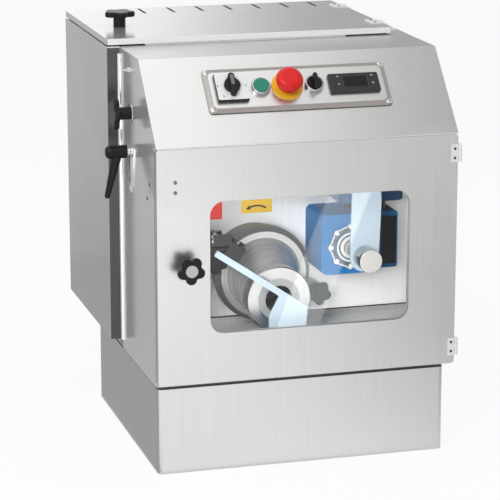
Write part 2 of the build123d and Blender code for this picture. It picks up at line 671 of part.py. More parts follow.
def rear_cover():
    right = REAR_LEFT + REAR_WIDTH
    cover = block(REAR_LEFT, right, BODY_BACK, MACHINE_BACK, 0, REAR_HEIGHT)
    cover = fillet(cover.edges().filter_by(Axis.Z).sort_by(Axis.Y)[-2:], BASE_CORNER)
    cover -= block(REAR_LEFT + SHEET, right - SHEET, BODY_BACK + SHEET, MACHINE_BACK - SHEET, SHEET,
                   REAR_HEIGHT - SHEET)
    cover -= block(REAR_LEFT + SHEET, right - SHEET, BODY_BACK, BODY_BACK + SHEET, BODY_BOTTOM,
                   REAR_HEIGHT - SHEET)
    cover -= block(REAR_LEFT + REAR_RIM, right - REAR_RIM, BODY_BACK + REAR_RIM, MACHINE_BACK - REAR_RIM,
                   0, SHEET)
    middle_y = BODY_BACK + REAR_DEPTH / 2
    middle_x = REAR_LEFT + REAR_WIDTH / 2
    louvre = SlotOverall(LOUVRE_LENGTH, LOUVRE_WIDTH)
    for number in range(LOUVRE_COUNT):
        height = LOUVRE_Z + number * LOUVRE_PITCH
        cover -= plate_yz(Pos(middle_y, height) * louvre, REAR_LEFT, right)
        for side in (-1, 1):
            spot = Pos(middle_x + side * LOUVRE_SIDE, height)
            cover -= plate_xz(spot * louvre, MACHINE_BACK - SHEET, MACHINE_BACK)
    return cover


# Auger, barrel, cone and nozzle

def auger_screw():
    back = BODY_BACK + DRIVE_BORE
    shaft = rod_y(AUGER_X, AUGER_NOSE, back, AUGER_Z, AUGER_SHAFT)
    shaft = fillet(shaft.edges().sort_by(Axis.Y)[:1], AUGER_ROUND)
    half = pi * FLIGHT_THICK / AUGER_PITCH
    root = AUGER_SHAFT - FLIGHT_SINK

    def spot(radius, angle):
        return (radius * cos(angle), radius * sin(angle))

    sector = make_face(Wire([
        Line(spot(root, -half), spot(AUGER_RADIUS, -half)).edge(),
        ThreePointArc(spot(AUGER_RADIUS, -half), spot(AUGER_RADIUS, 0), spot(AUGER_RADIUS, half)).edge(),
        Line(spot(AUGER_RADIUS, half), spot(root, half)).edge(),
        ThreePointArc(spot(root, half), spot(root, 0), spot(root, -half)).edge(),
    ]))
    length = HOPPER_BACK - SHEET - AUGER_GAP - FLIGHT_FRONT
    turn = 360 * length / AUGER_PITCH
    flight = Solid.extrude_linear_with_rotation(sector.face(), (0, 0, 0), (0, 0, length), turn)
    return shaft + Pos(AUGER_X, FLIGHT_FRONT, AUGER_Z) * Rot(-90, 0, 0) * flight


def eared_disc(radius):
    """Round flange with two ears for the clamp knobs, drawn about its centre."""
    ears = Rot(0, 0, EAR_ANGLE) * SlotOverall(2 * (EAR_PITCH + EAR_RADIUS), 2 * EAR_RADIUS)
    return Circle(radius) + ears


def ear_spots():
    """Centres of the two clamp knobs in X and Z, the right one first."""
    dx = EAR_PITCH * cos(radians(EAR_ANGLE))
    dz = EAR_PITCH * sin(radians(EAR_ANGLE))
    return [(AUGER_X + dx, AUGER_Z + dz), (AUGER_X - dx, AUGER_Z - dz)]


def with_ear_holes(flange, front, back):
    for x, z in ear_spots():
        flange -= rod_y(x, front, back, z, CONE_STUD + SLIDING)
    return flange


def auger_barrel():
    back = BARREL_FLANGE_Y + FLANGE_THICK
    flange = plate_xz(Pos(AUGER_X, AUGER_Z) * eared_disc(FLANGE_RADIUS + FLANGE_LIP), BARREL_FLANGE_Y, back)
    barrel = with_ear_holes(flange, BARREL_FLANGE_Y, back)
    barrel += rod_y(AUGER_X, back, HOPPER_FRONT, AUGER_Z, BARREL_RADIUS)
    return barrel - rod_y(AUGER_X, BARREL_FLANGE_Y, HOPPER_FRONT, AUGER_Z, TROUGH_RADIUS)


def cone_body(shoulder, waist, neck, back):
    """Bell that narrows from the flange to the lower nozzle axis."""
    middle = (CONE_FRONT + CONE_FLANGE_Y) / 2
    sections = ((back, AUGER_Z, shoulder), (middle, (AUGER_Z + NOZZLE_Z) / 2, waist),
                (CONE_FRONT, NOZZLE_Z, neck))
    faces = [Plane((AUGER_X, y, z), (1, 0, 0), (0, -1, 0)) * Circle(radius) for y, z, radius in sections]
    return loft(faces)


def outlet_cone():
    back = BARREL_FLANGE_Y
    neck = INSERT_RADIUS + CONE_NECK_WALL
    waist = (CONE_SHOULDER + neck) / 2
    flange = plate_xz(Pos(AUGER_X, AUGER_Z) * eared_disc(FLANGE_RADIUS), CONE_FLANGE_Y, back)
    cone = with_ear_holes(flange, CONE_FLANGE_Y, back)
    cone += cone_body(CONE_SHOULDER, waist, neck, CONE_FLANGE_Y)
    return cone - cone_body(TROUGH_RADIUS, waist - CONE_NECK_WALL, INSERT_RADIUS, back)


def nozzle_ring():
    ring = ring_y(AUGER_X, NOZZLE_Z, NOZZLE_FRONT, CONE_FRONT, NOZZLE_RADIUS, INSERT_RADIUS)
    return chamfer(ring.faces().sort_by(Axis.Y)[0].outer_wire().edges(), SHEET)


def nozzle_insert():
    front = NOZZLE_FRONT - INSERT_PROUD
    outer = INSERT_RADIUS - SLIDING
    wide = outer - SHEET
    profile = polygon((INSERT_BORE, 0), (outer, 0), (outer, CONE_FRONT - front), (wide, CONE_FRONT - front),
                      (INSERT_BORE, (CONE_FRONT - front) / 3))
    turned = revolve(Plane.XZ * profile, Axis.Z)
    return Pos(AUGER_X, front, NOZZLE_Z) * Rot(-90, 0, 0) * turned


def cone_knobs():
    knobs = []
    for x, z in ear_spots():
        knob = lobed_knob(CONE_STUD, 2 * FLANGE_THICK, CONE_KNOB_SCALE)
        knobs.append(Pos(x, CONE_FLANGE_Y, z) * Rot(90, 0, 0) * knob)
    return knobs


# Knife and its drive

def knife_gearbox():
    case = plate_xz(panel(KNIFE_X - GEARBOX_LEFT, KNIFE_Z - GEARBOX_BELOW, GEARBOX_LEFT + GEARBOX_RIGHT,
                          GEARBOX_BELOW + GEARBOX_ABOVE, GEARBOX_CORNER), GEARBOX_Y, PARTITION_Y)
    side = KNIFE_X + GEARBOX_RIGHT - GEARBOX_CORNER
    case += plate_xz(panel(side, KNIFE_Z - GEARBOX_BELOW + WORM_STEP, WORM_SIDE + GEARBOX_CORNER,
                           GEARBOX_BELOW + GEARBOX_ABOVE - WORM_STEP, GEARBOX_CORNER / 2),
                     GEARBOX_Y + WORM_STEP, PARTITION_Y)
    return case - rod_y(KNIFE_X, GEARBOX_Y, GEARBOX_Y + GEARBOX_BORE, KNIFE_Z, KNIFE_SHAFT + RUNNING)


def gearbox_cover():
    outline = Circle(COVER_RADIUS)
    for spot in PolarLocations(COVER_RADIUS - COVER_LOBE_RADIUS / 3, COVER_LOBES):
        outline += spot * Circle(COVER_LOBE_RADIUS)
    outline = fillet(outline.vertices(), COVER_LOBE_RADIUS / 2)
    cover = plate_xz(Pos(KNIFE_X, KNIFE_Z) * outline, COVER_Y + COVER_THICK / 2, GEARBOX_Y)
    cover += rod_y(KNIFE_X, COVER_Y, GEARBOX_Y, KNIFE_Z, COVER_BOSS)
    return cover - rod_y(KNIFE_X, COVER_Y, GEARBOX_Y, KNIFE_Z, KNIFE_SHAFT + RUNNING)


def finned_motor(radius, fin, length, pitch, thick, cowl):
    """Motor along +Z from the origin with ring fins and a plain fan cowl at its end."""
    motor = rod_z(0, 0, 0, length, radius)
    count = int((length - cowl) / pitch)
    for number in range(count):
        foot = number * pitch
        motor += rod_z(0, 0, foot, foot + thick, fin)
    shell = rod_z(0, 0, length - cowl, length, fin)
    return motor + fillet(shell.edges().sort_by(Axis.Z)[-1:], cowl / 3)


def knife_motor():
    neck = rod_z(WORM_X, WORM_Y, MOTOR_FOOT, MOTOR_FOOT + NECK_HEIGHT, NECK_RADIUS)
    flange_foot = MOTOR_FOOT + NECK_HEIGHT
    body_foot = flange_foot + MOTOR_FLANGE_THICK
    outline = RectangleRounded(MOTOR_FLANGE_WIDTH, GEARBOX_DEPTH, MOTOR_FLANGE_CORNER)
    flange = plate_xy(Pos(WORM_X, WORM_Y) * outline, flange_foot, body_foot)
    body = finned_motor(MOTOR_RADIUS, MOTOR_FIN, MOTOR_LENGTH, FIN_PITCH, FIN_THICK, MOTOR_COWL)
    return neck + flange + Pos(WORM_X, WORM_Y, body_foot) * body


def knife_shaft():
    return rod_y(KNIFE_X, BLADE_Y + BLADE_THICK, GEARBOX_Y + GEARBOX_BORE - CLEAR, KNIFE_Z, KNIFE_SHAFT)


def knife_blade():
    half = BLADE_WIDTH / 2
    top = KNIFE_Z + BLADE_REACH
    shoulder = KNIFE_Z + BLADE_REACH / 2
    outline = polygon((KNIFE_X - half, KNIFE_Z), (KNIFE_X - BLADE_TIP_LEFT, top),
                      (KNIFE_X + BLADE_TIP_RIGHT, top), (KNIFE_X + BLADE_BELLY, shoulder),
                      (KNIFE_X + half, KNIFE_Z))
    outline += Pos(KNIFE_X, KNIFE_Z) * Circle(half)
    return plate_xz(outline, BLADE_Y, BLADE_Y + BLADE_THICK)


def knife_cap():
    cap = rod_y(KNIFE_X, BLADE_Y - CAP_LENGTH, BLADE_Y, KNIFE_Z, CAP_RADIUS)
    return fillet(cap.edges().sort_by(Axis.Y)[:1], SHEET / 2)


def drive_gearbox():
    half = DRIVE_SIDE / 2
    outline = panel(AUGER_X - half, AUGER_Z - half, DRIVE_SIDE, DRIVE_SIDE, DRIVE_CORNER)
    case = plate_xz(outline, BODY_BACK, BODY_BACK + DRIVE_DEPTH)
    case = chamfer(case.faces().sort_by(Axis.Y)[-1].edges(), DRIVE_CORNER / 2)
    return case - rod_y(AUGER_X, BODY_BACK, BODY_BACK + DRIVE_BORE + CLEAR, AUGER_Z, AUGER_SHAFT + RUNNING)


def drive_motor():
    motor = finned_motor(DRIVE_MOTOR_RADIUS, DRIVE_MOTOR_FIN, DRIVE_MOTOR_LENGTH, DRIVE_FIN_PITCH,
                         DRIVE_FIN_THICK, DRIVE_COWL)
    return Pos(AUGER_X, BODY_BACK + DRIVE_DEPTH, AUGER_Z) * Rot(-90, 0, 0) * motor


# Door, window and door hardware

def door_panel():
    height = DOOR_TOP - DOOR_BOTTOM
    outer = panel(0, DOOR_BOTTOM, DOOR_WIDTH, height, DOOR_CORNER)
    inner = panel(SHEET, DOOR_BOTTOM + SHEET, DOOR_WIDTH - 2 * SHEET, height - 2 * SHEET, DOOR_CORNER - SHEET)
    window = panel(WINDOW_LEFT, WINDOW_BOTTOM, WINDOW_WIDTH, WINDOW_HEIGHT, WINDOW_CORNER)
    door = plate_xz(outer, 0, DOOR_DEPTH)
    door = fillet(door.faces().sort_by(Axis.Y)[0].edges(), SHEET / 2)
    door -= plate_xz(inner, SHEET, DOOR_DEPTH)
    door -= plate_xz(window, 0, SHEET)
    return door - rod_y(DOOR_KNOB_X, 0, SHEET, DOOR_KNOB_Z, SPINDLE + RUNNING)


def pane_outline():
    return panel(WINDOW_LEFT - PANE_MARGIN, WINDOW_BOTTOM - PANE_MARGIN, WINDOW_WIDTH + 2 * PANE_MARGIN,
                 WINDOW_HEIGHT + 2 * PANE_MARGIN, WINDOW_CORNER)


def window_pane():
    return plate_xz(pane_outline(), SHEET, SHEET + PANE_THICK)


def window_frame():
    opening = panel(WINDOW_LEFT, WINDOW_BOTTOM, WINDOW_WIDTH, WINDOW_HEIGHT, WINDOW_CORNER)
    front = SHEET + PANE_THICK
    return plate_xz(pane_outline() - opening, front, front + FRAME_THICK)


def knuckles(length):
    """Foot and head of the two outer knuckles and of the middle one along a hinge."""
    third = length / 3
    outer = ((0, third - KNUCKLE_GAP), (2 * third + KNUCKLE_GAP, length))
    return outer, (third, 2 * third)


def door_hinge_posts():
    """Fixed leaves on the hood's right side, each with two knuckles and the pin."""
    outer, _ = knuckles(HINGE_HEIGHT)
    posts = []
    for foot in (HINGE_LOW, HINGE_HIGH):
        leaf = block(HOOD_WIDTH, HOOD_WIDTH + HINGE_LEAF, HINGE_IN + HINGE_BARREL, HINGE_TAIL + HOOD_SETBACK,
                     foot, foot + HINGE_HEIGHT)
        post = leaf + rod_z(HINGE_X, HINGE_IN, foot, foot + HINGE_HEIGHT, HINGE_PIN)
        for low, high in outer:
            post += rod_z(HINGE_X, HINGE_IN, foot + low, foot + high, HINGE_BARREL)
            post += block(HOOD_WIDTH, HOOD_WIDTH + HINGE_LEAF, HINGE_IN, HINGE_IN + HINGE_BARREL + SHEET,
                          foot + low, foot + high)
        posts.append(post)
    return Compound(children=posts)


def door_hinge_leaves():
    """Leaves on the door's face, each with its middle knuckle round the pin."""
    _, (low, high) = knuckles(HINGE_HEIGHT)
    leaves = []
    for foot in (HINGE_LOW, HINGE_HIGH):
        leaf = block(DOOR_WIDTH - HINGE_REACH, DOOR_WIDTH, -HINGE_LEAF, 0, foot, foot + HINGE_HEIGHT)
        leaf += block(DOOR_WIDTH, HINGE_X, -HINGE_LEAF, 0, foot + low, foot + high)
        leaf += rod_z(HINGE_X, HINGE_IN, foot + low, foot + high, HINGE_BARREL)
        leaf -= rod_z(HINGE_X, HINGE_IN, foot, foot + HINGE_HEIGHT, HINGE_PIN + RUNNING)
        leaves.append(leaf)
    return Compound(children=leaves)


def door_knob():
    knob = lobed_knob(SPINDLE, -KNOB_FOOT)
    knob += rod_z(0, 0, KNOB_LENGTH, KNOB_LENGTH + KNOB_CAP_THICK, KNOB_CAP)
    return Pos(DOOR_KNOB_X, 0, DOOR_KNOB_Z) * Rot(90, 0, 0) * knob


def door_latch():
    """Spindle through the door with the cam that turns behind the catch."""
    spindle = rod_y(DOOR_KNOB_X, -KNOB_FOOT, LATCH_Y + LATCH_THICK, DOOR_KNOB_Z, SPINDLE)
    cam = Pos(DOOR_KNOB_X, DOOR_KNOB_Z + LATCH_REACH / 2) * Rectangle(LATCH_WIDTH, LATCH_REACH)
    cam += Pos(DOOR_KNOB_X, DOOR_KNOB_Z) * Circle(LATCH_EYE)
    return spindle + plate_xz(cam, LATCH_Y, LATCH_Y + LATCH_THICK)


# Lid hardware

def lid_hinge_posts():
    """Fixed leaves on the deck, each with two knuckles and the pin."""
    outer, _ = knuckles(LID_HINGE_LENGTH)
    posts = []
    for front in (LID_HINGE_FRONT, LID_HINGE_BACK):
        back = front + LID_HINGE_LENGTH
        post = block(LID_HINGE_X, LID_HINGE_X + LID_POST_REACH, front, back, DECK_TOP, DECK_TOP + HINGE_LEAF)
        post += rod_y(LID_HINGE_X, front, back, LID_HINGE_Z, LID_PIN)
        for low, high in outer:
            post += rod_y(LID_HINGE_X, front + low, front + high, LID_HINGE_Z, LID_BARREL)
            post += block(LID_HINGE_X, LID_HINGE_X + LID_BARREL, front + low, front + high,
                          DECK_TOP, LID_HINGE_Z)
        posts.append(post)
    return Compound(children=posts)


def lid_hinge_leaves():
    """Leaves on the lid, each with its middle knuckle round the pin."""
    _, (low, high) = knuckles(LID_HINGE_LENGTH)
    leaves = []
    for front in (LID_HINGE_FRONT, LID_HINGE_BACK):
        back = front + LID_HINGE_LENGTH
        leaf = block(LID_RIGHT - LID_LEAF_REACH, LID_RIGHT, front, back, LID_TOP, LID_TOP + HINGE_LEAF)
        leaf += block(LID_RIGHT, LID_HINGE_X, front + low, front + high, LID_HINGE_Z + LID_PIN,
                      LID_TOP + HINGE_LEAF)
        leaf += rod_y(LID_HINGE_X, front + low, front + high, LID_HINGE_Z, LID_BARREL)
        leaf -= rod_y(LID_HINGE_X, front, back, LID_HINGE_Z, LID_PIN + RUNNING)
        leaves.append(leaf)
    return Compound(children=leaves)


def lid_knob():
    knob = lobed_knob(SIDE_STUD, SHEET + LID_NUT_HEIGHT, spread=LARGE_KNOB, stem_length=LID_KNOB_STEM)
    knob += rod_z(0, 0, 0, KNOB_FOOT, KNOB_HUB)
    knob += rod_z(0, 0, -SHEET - LID_NUT_HEIGHT, -SHEET, LID_NUT_RADIUS)
    return Pos(LID_KNOB_X, LID_KNOB_Y, LID_TOP) * knob


# Side wall hardware and portion flap

def side_knob():
    knob = lobed_knob(SIDE_STUD, SIDE_STUD_DEPTH, spread=LARGE_KNOB)
    return Pos(0, SIDE_Y, SIDE_KNOB_Z) * Rot(0, -90, 0) * knob


def clamp_lever():
    hub = rod_x(-LEVER_OUT, -LEVER_FOOT, SIDE_Y, LEVER_Z, LEVER_HUB)
    hub = fillet(hub.edges().sort_by(Axis.X)[:1], LEVER_NOSE)
    start = Vector(LEVER_ROOT - LEVER_OUT, SIDE_Y, LEVER_Z)
    end = Vector(LEVER_TUCK - LEVER_OUT, SIDE_Y, LEVER_Z - LEVER_ARM)
    along = Plane(start, z_dir=end - start)
    arm = loft([along * Circle(LEVER_THICK), Plane(end, z_dir=end - start) * Circle(LEVER_TIP)])
    return hub + arm + Pos(*end) * Sphere(LEVER_TIP)


def lever_stud():
    """Stud through the slot with two washers under the lever."""
    middle = -COLLAR_RISE - WASHER_THICK
    stud = rod_x(-LEVER_FOOT, SHEET + CLEAR + GUIDE_THICK + ARM_THICK, SIDE_Y, LEVER_Z, LEVER_STUD)
    stud += rod_x(-LEVER_FOOT, middle, SIDE_Y, LEVER_Z, NUT_RADIUS)
    return stud + rod_x(middle, -COLLAR_RISE - CLEAR, SIDE_Y, LEVER_Z, WASHER_RADIUS)


def flap_carriage():
    """Slider behind the slot, with an arm down to the flap's pivot and the sensor's bracket."""
    half = CARRIAGE_WIDTH / 2
    inner = SHEET + CLEAR + GUIDE_THICK
    outer = inner + ARM_THICK
    head = LEVER_Z + CARRIAGE_ABOVE
    foot = LEVER_Z - CARRIAGE_BELOW
    carriage = block(SHEET + CLEAR, inner, SIDE_Y - half, SIDE_Y + half, foot, head)
    arm = polygon((SIDE_Y - half, head), (SIDE_Y + half, head), (SIDE_Y + half, foot),
                  (PIVOT_Y + PIVOT_BOSS, PIVOT_Z - PIVOT_BOSS), (PIVOT_Y - PIVOT_BOSS, PIVOT_Z - PIVOT_BOSS),
                  (PIVOT_Y - PIVOT_BOSS, PIVOT_Z + PIVOT_BOSS), (SIDE_Y - half, foot + PIVOT_BOSS))
    carriage += plate_yz(arm, inner, outer)
    carriage += rod_x(outer, outer + PIVOT_BOSS_LENGTH, PIVOT_Y, PIVOT_Z, PIVOT_BOSS)
    carriage += block(inner, BRACKET_END, BRACKET_Y, BRACKET_Y + BRACKET_THICK, SENSOR_Z - SENSOR_NUT,
                      SENSOR_Z + SENSOR_NUT)
    carriage -= rod_x(inner, outer + PIVOT_BOSS_LENGTH, PIVOT_Y, PIVOT_Z, PIVOT_ROD + RUNNING)
    carriage -= rod_y(SENSOR_X, BRACKET_Y, BRACKET_Y + BRACKET_THICK, SENSOR_Z, SENSOR_RADIUS + SLIDING)
    return carriage - rod_x(0, outer, SIDE_Y, LEVER_Z, LEVER_STUD + SLIDING)


def flap_sensor():
    """Round sensor through the bracket, with a nut on each side."""
    sensor = rod_y(SENSOR_X, SENSOR_FRONT, SENSOR_FRONT + SENSOR_LENGTH, SENSOR_Z, SENSOR_RADIUS)
    nut = RegularPolygon(SENSOR_NUT, 6, major_radius=False)
    for front in (BRACKET_Y - BRACKET_THICK, BRACKET_Y + BRACKET_THICK):
        sensor += plate_xz(Pos(SENSOR_X, SENSOR_Z) * nut, front, front + BRACKET_THICK)
    return sensor


def sensor_cable():
    """Lead from the sensor up to the carriage's head."""
    back = SENSOR_FRONT + SENSOR_LENGTH
    wall = SHEET + CLEAR + GUIDE_THICK + ARM_THICK
    top = LEVER_Z + CARRIAGE_ABOVE - 3 * CABLE_RADIUS
    rise = back + CABLE_RUN
    end = SIDE_Y - CARRIAGE_WIDTH / 4
    route = [(SENSOR_X, back, SENSOR_Z), (SENSOR_X, rise, SENSOR_Z), (SENSOR_X - CABLE_LEAN, end, top),
             (wall, end, top)]
    path = FilletPolyline(*route, radius=[CABLE_LOWER_ARC, CABLE_UPPER_ARC])
    profile = Plane(route[0], z_dir=(0, 1, 0)) * Circle(CABLE_RADIUS)
    return sweep(profile, path=path)


def flap_plate():
    """Flap in front of the nozzle: a slanting arm that widens into a plate."""
    low_x = FLAP_ARM_X - FLAP_ARM_WIDTH * sin(FLAP_ANGLE)
    low_z = FLAP_ARM_Z - FLAP_ARM_WIDTH * cos(FLAP_ANGLE)
    notch_z = low_z - (FLAP_NOTCH - low_x) * tan(FLAP_ANGLE)
    outline = polygon((FLAP_ARM_X, FLAP_ARM_Z), (FLAP_RIGHT, FLAP_SHOULDER),
                      (FLAP_RIGHT - FLAP_TAPER, FLAP_BOTTOM), (FLAP_LEFT, FLAP_BOTTOM),
                      (FLAP_LEFT, FLAP_KNEE), (FLAP_NOTCH, notch_z), (low_x, low_z))
    outline = fillet(outline.vertices(), FLAP_ROUND)
    return plate_xz(outline, FLAP_FRONT, FLAP_FRONT + FLAP_THICK)


def flap_clamp():
    """Pivot rod with the block that clamps the flap, its bolts and the sensor's target."""
    front = FLAP_FRONT + FLAP_THICK
    back = front + CLAMP_DEPTH
    rod_end = FLAP_ARM_X + CLAMP_START + CLAMP_LENGTH / 3
    along = Pos(FLAP_ARM_X, 0, FLAP_ARM_Z) * Rot(0, degrees(FLAP_ANGLE), 0)
    body = block(CLAMP_START, CLAMP_START + CLAMP_LENGTH, front, back, -CLAMP_LAP, CLAMP_RISE)
    body = fillet(body.edges().filter_by(Axis.X), CLAMP_ROUND)
    head = RegularPolygon(CLAMP_BOLT, 6, major_radius=False)
    for x in (CLAMP_START + CLAMP_LENGTH / 4, CLAMP_START + CLAMP_LENGTH * 3 / 4):
        spot = Pos(x, (front + back) / 2)
        body += plate_xy(spot * head, CLAMP_RISE, CLAMP_RISE + CLAMP_BOLT_HEIGHT)
    clamp = along * body
    clamp += rod_x(SHEET + CLEAR + GUIDE_THICK, rod_end, PIVOT_Y, PIVOT_Z, PIVOT_ROD)
    return clamp + block(TARGET_LEFT, rod_end + SHEET, front, front + SHEET, TARGET_BOTTOM, TARGET_TOP)


# Controls on the slope, drawn upright and then placed

def control_bezel():
    """Border that rises from its outer rim to the plate's face."""
    outer = RectangleRounded(PANEL_WIDTH, PANEL_HEIGHT, PANEL_CORNER)
    inner = RectangleRounded(PANEL_INSIDE_WIDTH, PANEL_INSIDE_HEIGHT, PLATE_CORNER)
    crest = RectangleRounded(PANEL_INSIDE_WIDTH + 2 * PANEL_LAND, PANEL_INSIDE_HEIGHT + 2 * PANEL_LAND,
                             PLATE_CORNER + PANEL_LAND)
    border = extrude(outer, PANEL_EDGE)
    border += loft([Pos(0, 0, PANEL_EDGE) * outer, Pos(0, 0, PLATE_THICK) * crest])
    return on_slope(border - extrude(inner, PLATE_THICK), PANEL_U, PANEL_V)


def stem_hole(u):
    return Pos(u - PANEL_U, BUTTON_V - PANEL_V) * Circle(STEM_RADIUS + SLIDING)


def control_plate():
    plate = RectangleRounded(PANEL_INSIDE_WIDTH - 2 * PLATE_GAP, PANEL_INSIDE_HEIGHT - 2 * PLATE_GAP,
                             PLATE_CORNER)
    for u in (START_U, STOP_U, SELECTOR_U):
        plate -= stem_hole(u)
    plate -= Pos(SWITCH_U - PANEL_U, SWITCH_V - PANEL_V) * Rectangle(SWITCH_BLOCK + 2 * SLIDING,
                                                                    SWITCH_BLOCK + 2 * SLIDING)
    plate -= Pos(CASE_U - PANEL_U, CASE_V - PANEL_V) * Rectangle(CASE_BODY_WIDTH + 2 * SLIDING,
                                                                CASE_BODY_HEIGHT + 2 * SLIDING)
    return on_slope(extrude(plate, PLATE_THICK), PANEL_U, PANEL_V)


def cam_switch_body():
    top = SWITCH_BASE + SWITCH_FACE_THICK
    body = extrude(RectangleRounded(SWITCH_SIDE, SWITCH_SIDE, SHEET), SWITCH_BASE)
    body += plate_xy(RectangleRounded(SWITCH_FACE, SWITCH_FACE, SHEET), SWITCH_BASE, top)
    body += plate_xy(Rectangle(SWITCH_BLOCK, SWITCH_BLOCK), -SWITCH_BLOCK_DEPTH, 0)
    body -= rod_z(0, 0, 0, top, HANDLE_SPINDLE + RUNNING)
    return on_slope(body, SWITCH_U, SWITCH_V, PLATE_THICK)


def switch_handle():
    foot = SWITCH_BASE + SWITCH_FACE_THICK + CLEAR
    handle = rod_z(0, 0, foot, foot + HANDLE_THICK, HANDLE_RADIUS)
    grip = plate_xy(SlotOverall(HANDLE_GRIP_LENGTH, HANDLE_GRIP), foot, foot + HANDLE_HEIGHT)
    grip = fillet(grip.faces().sort_by(Axis.Z)[-1].edges(), SHEET)
    handle += Rot(0, 0, 90) * grip
    handle += rod_z(0, 0, CLEAR, foot, HANDLE_SPINDLE)
    return on_slope(handle, SWITCH_U, SWITCH_V, PLATE_THICK)


def button_bezel(u):
    """Chrome bezel with its stem behind the plate and a blind bore for the button."""
    bezel = rod_z(0, 0, 0, BEZEL_HEIGHT, BEZEL_RADIUS)
    bezel = fillet(bezel.edges().sort_by(Axis.Z)[-1:], SHEET)
    bezel += rod_z(0, 0, -STEM_DEPTH, 0, STEM_RADIUS)
    bezel -= rod_z(0, 0, CLEAR, BEZEL_HEIGHT, BUTTON_RADIUS + SLIDING)
    return on_slope(bezel, u, BUTTON_V, PLATE_THICK)


def start_button():
    foot = 2 * CLEAR + BUTTON_TRAVEL
    button = rod_z(0, 0, foot, BEZEL_HEIGHT + BUTTON_PROUD, BUTTON_RADIUS)
    button = fillet(button.edges().sort_by(Axis.Z)[-1:], CLEAR)
    return on_slope(button, START_U, BUTTON_V, PLATE_THICK)


def stop_collar():
    """Yellow disc with the guide of the stop button's stem behind it."""
    collar = rod_z(0, 0, 0, STOP_DISC_THICK, STOP_DISC)
    collar += rod_z(0, 0, -STEM_DEPTH, 0, STEM_RADIUS)
    collar -= rod_z(0, 0, -STOP_TRAVEL, STOP_DISC_THICK, STOP_STEM + SLIDING)
    return on_slope(collar, STOP_U, BUTTON_V, PLATE_THICK)


def stop_head():
    """Mushroom head: a domed cap over a narrower step and a round stem."""
    foot = STOP_DISC_THICK + STOP_TRAVEL + CLEAR
    step = foot + STOP_SKIRT_HEIGHT
    head = rod_z(0, 0, step, step + STOP_HEIGHT, STOP_RADIUS)
    head = fillet(head.edges().sort_by(Axis.Z)[-1:], STOP_DOME)
    head = chamfer(head.edges().sort_by(Axis.Z)[:1], STOP_CHAMFER)
    head += rod_z(0, 0, foot, step, STOP_SKIRT)
    head += rod_z(0, 0, CLEAR, foot, STOP_STEM)
    return on_slope(head, STOP_U, BUTTON_V, PLATE_THICK)


def selector_knob():
    foot = 2 * CLEAR
    top = BEZEL_HEIGHT + CLEAR
    knob = rod_z(0, 0, foot, top, BUTTON_RADIUS)
    grip = plate_xy(SlotOverall(2 * (BUTTON_RADIUS - CLEAR), GRIP_WIDTH), top, top + GRIP_HEIGHT)
    knob += Rot(0, 0, 90) * fillet(grip.faces().sort_by(Axis.Z)[-1].edges(), SHEET / 2)
    return on_slope(knob, SELECTOR_U, BUTTON_V, PLATE_THICK)


def key_spots():
    """Key centres on the case, two on each side of the display."""
    return [(DISPLAY_SHIFT + side * KEY_U, KEY_LIFT + row * KEY_V) for side in (-1, 1) for row in (1, -1)]


def controller_case():
    case = extrude(RectangleRounded(CASE_WIDTH, CASE_HEIGHT, CASE_CORNER), CASE_RISE)
    case = fillet(case.faces().sort_by(Axis.Z)[-1].edges(), SHEET / 2)
    case += plate_xy(Rectangle(CASE_BODY_WIDTH, CASE_BODY_HEIGHT), -CASE_BODY_DEPTH, 0)
    recess = extrude(Rectangle(DISPLAY_WIDTH, DISPLAY_HEIGHT), DISPLAY_THICK)
    case -= Pos(DISPLAY_SHIFT, DISPLAY_LIFT, CASE_RISE - DISPLAY_THICK) * recess
    for u, v in key_spots():
        case -= rod_z(u, v, CASE_RISE - KEY_HEIGHT - KEY_TRAVEL, CASE_RISE, KEY_RADIUS + SLIDING)
    return on_slope(case, CASE_U, CASE_V, PLATE_THICK)


def controller_display():
    glass = extrude(Rectangle(DISPLAY_WIDTH - 2 * PLATE_GAP, DISPLAY_HEIGHT - 2 * PLATE_GAP), DISPLAY_THICK)
    top = PLATE_THICK + CASE_RISE
    return on_slope(glass, CASE_U + DISPLAY_SHIFT, CASE_V + DISPLAY_LIFT, top - DISPLAY_THICK)


def controller_keys():
    """Four keys that stand out by half their height and sink by their travel."""
    foot = CASE_RISE - KEY_HEIGHT / 2
    keys = []
    for u, v in key_spots():
        key = rod_z(u, v, foot, foot + KEY_HEIGHT, KEY_RADIUS)
        keys.append(on_slope(key, CASE_U, CASE_V, PLATE_THICK))
    return keys


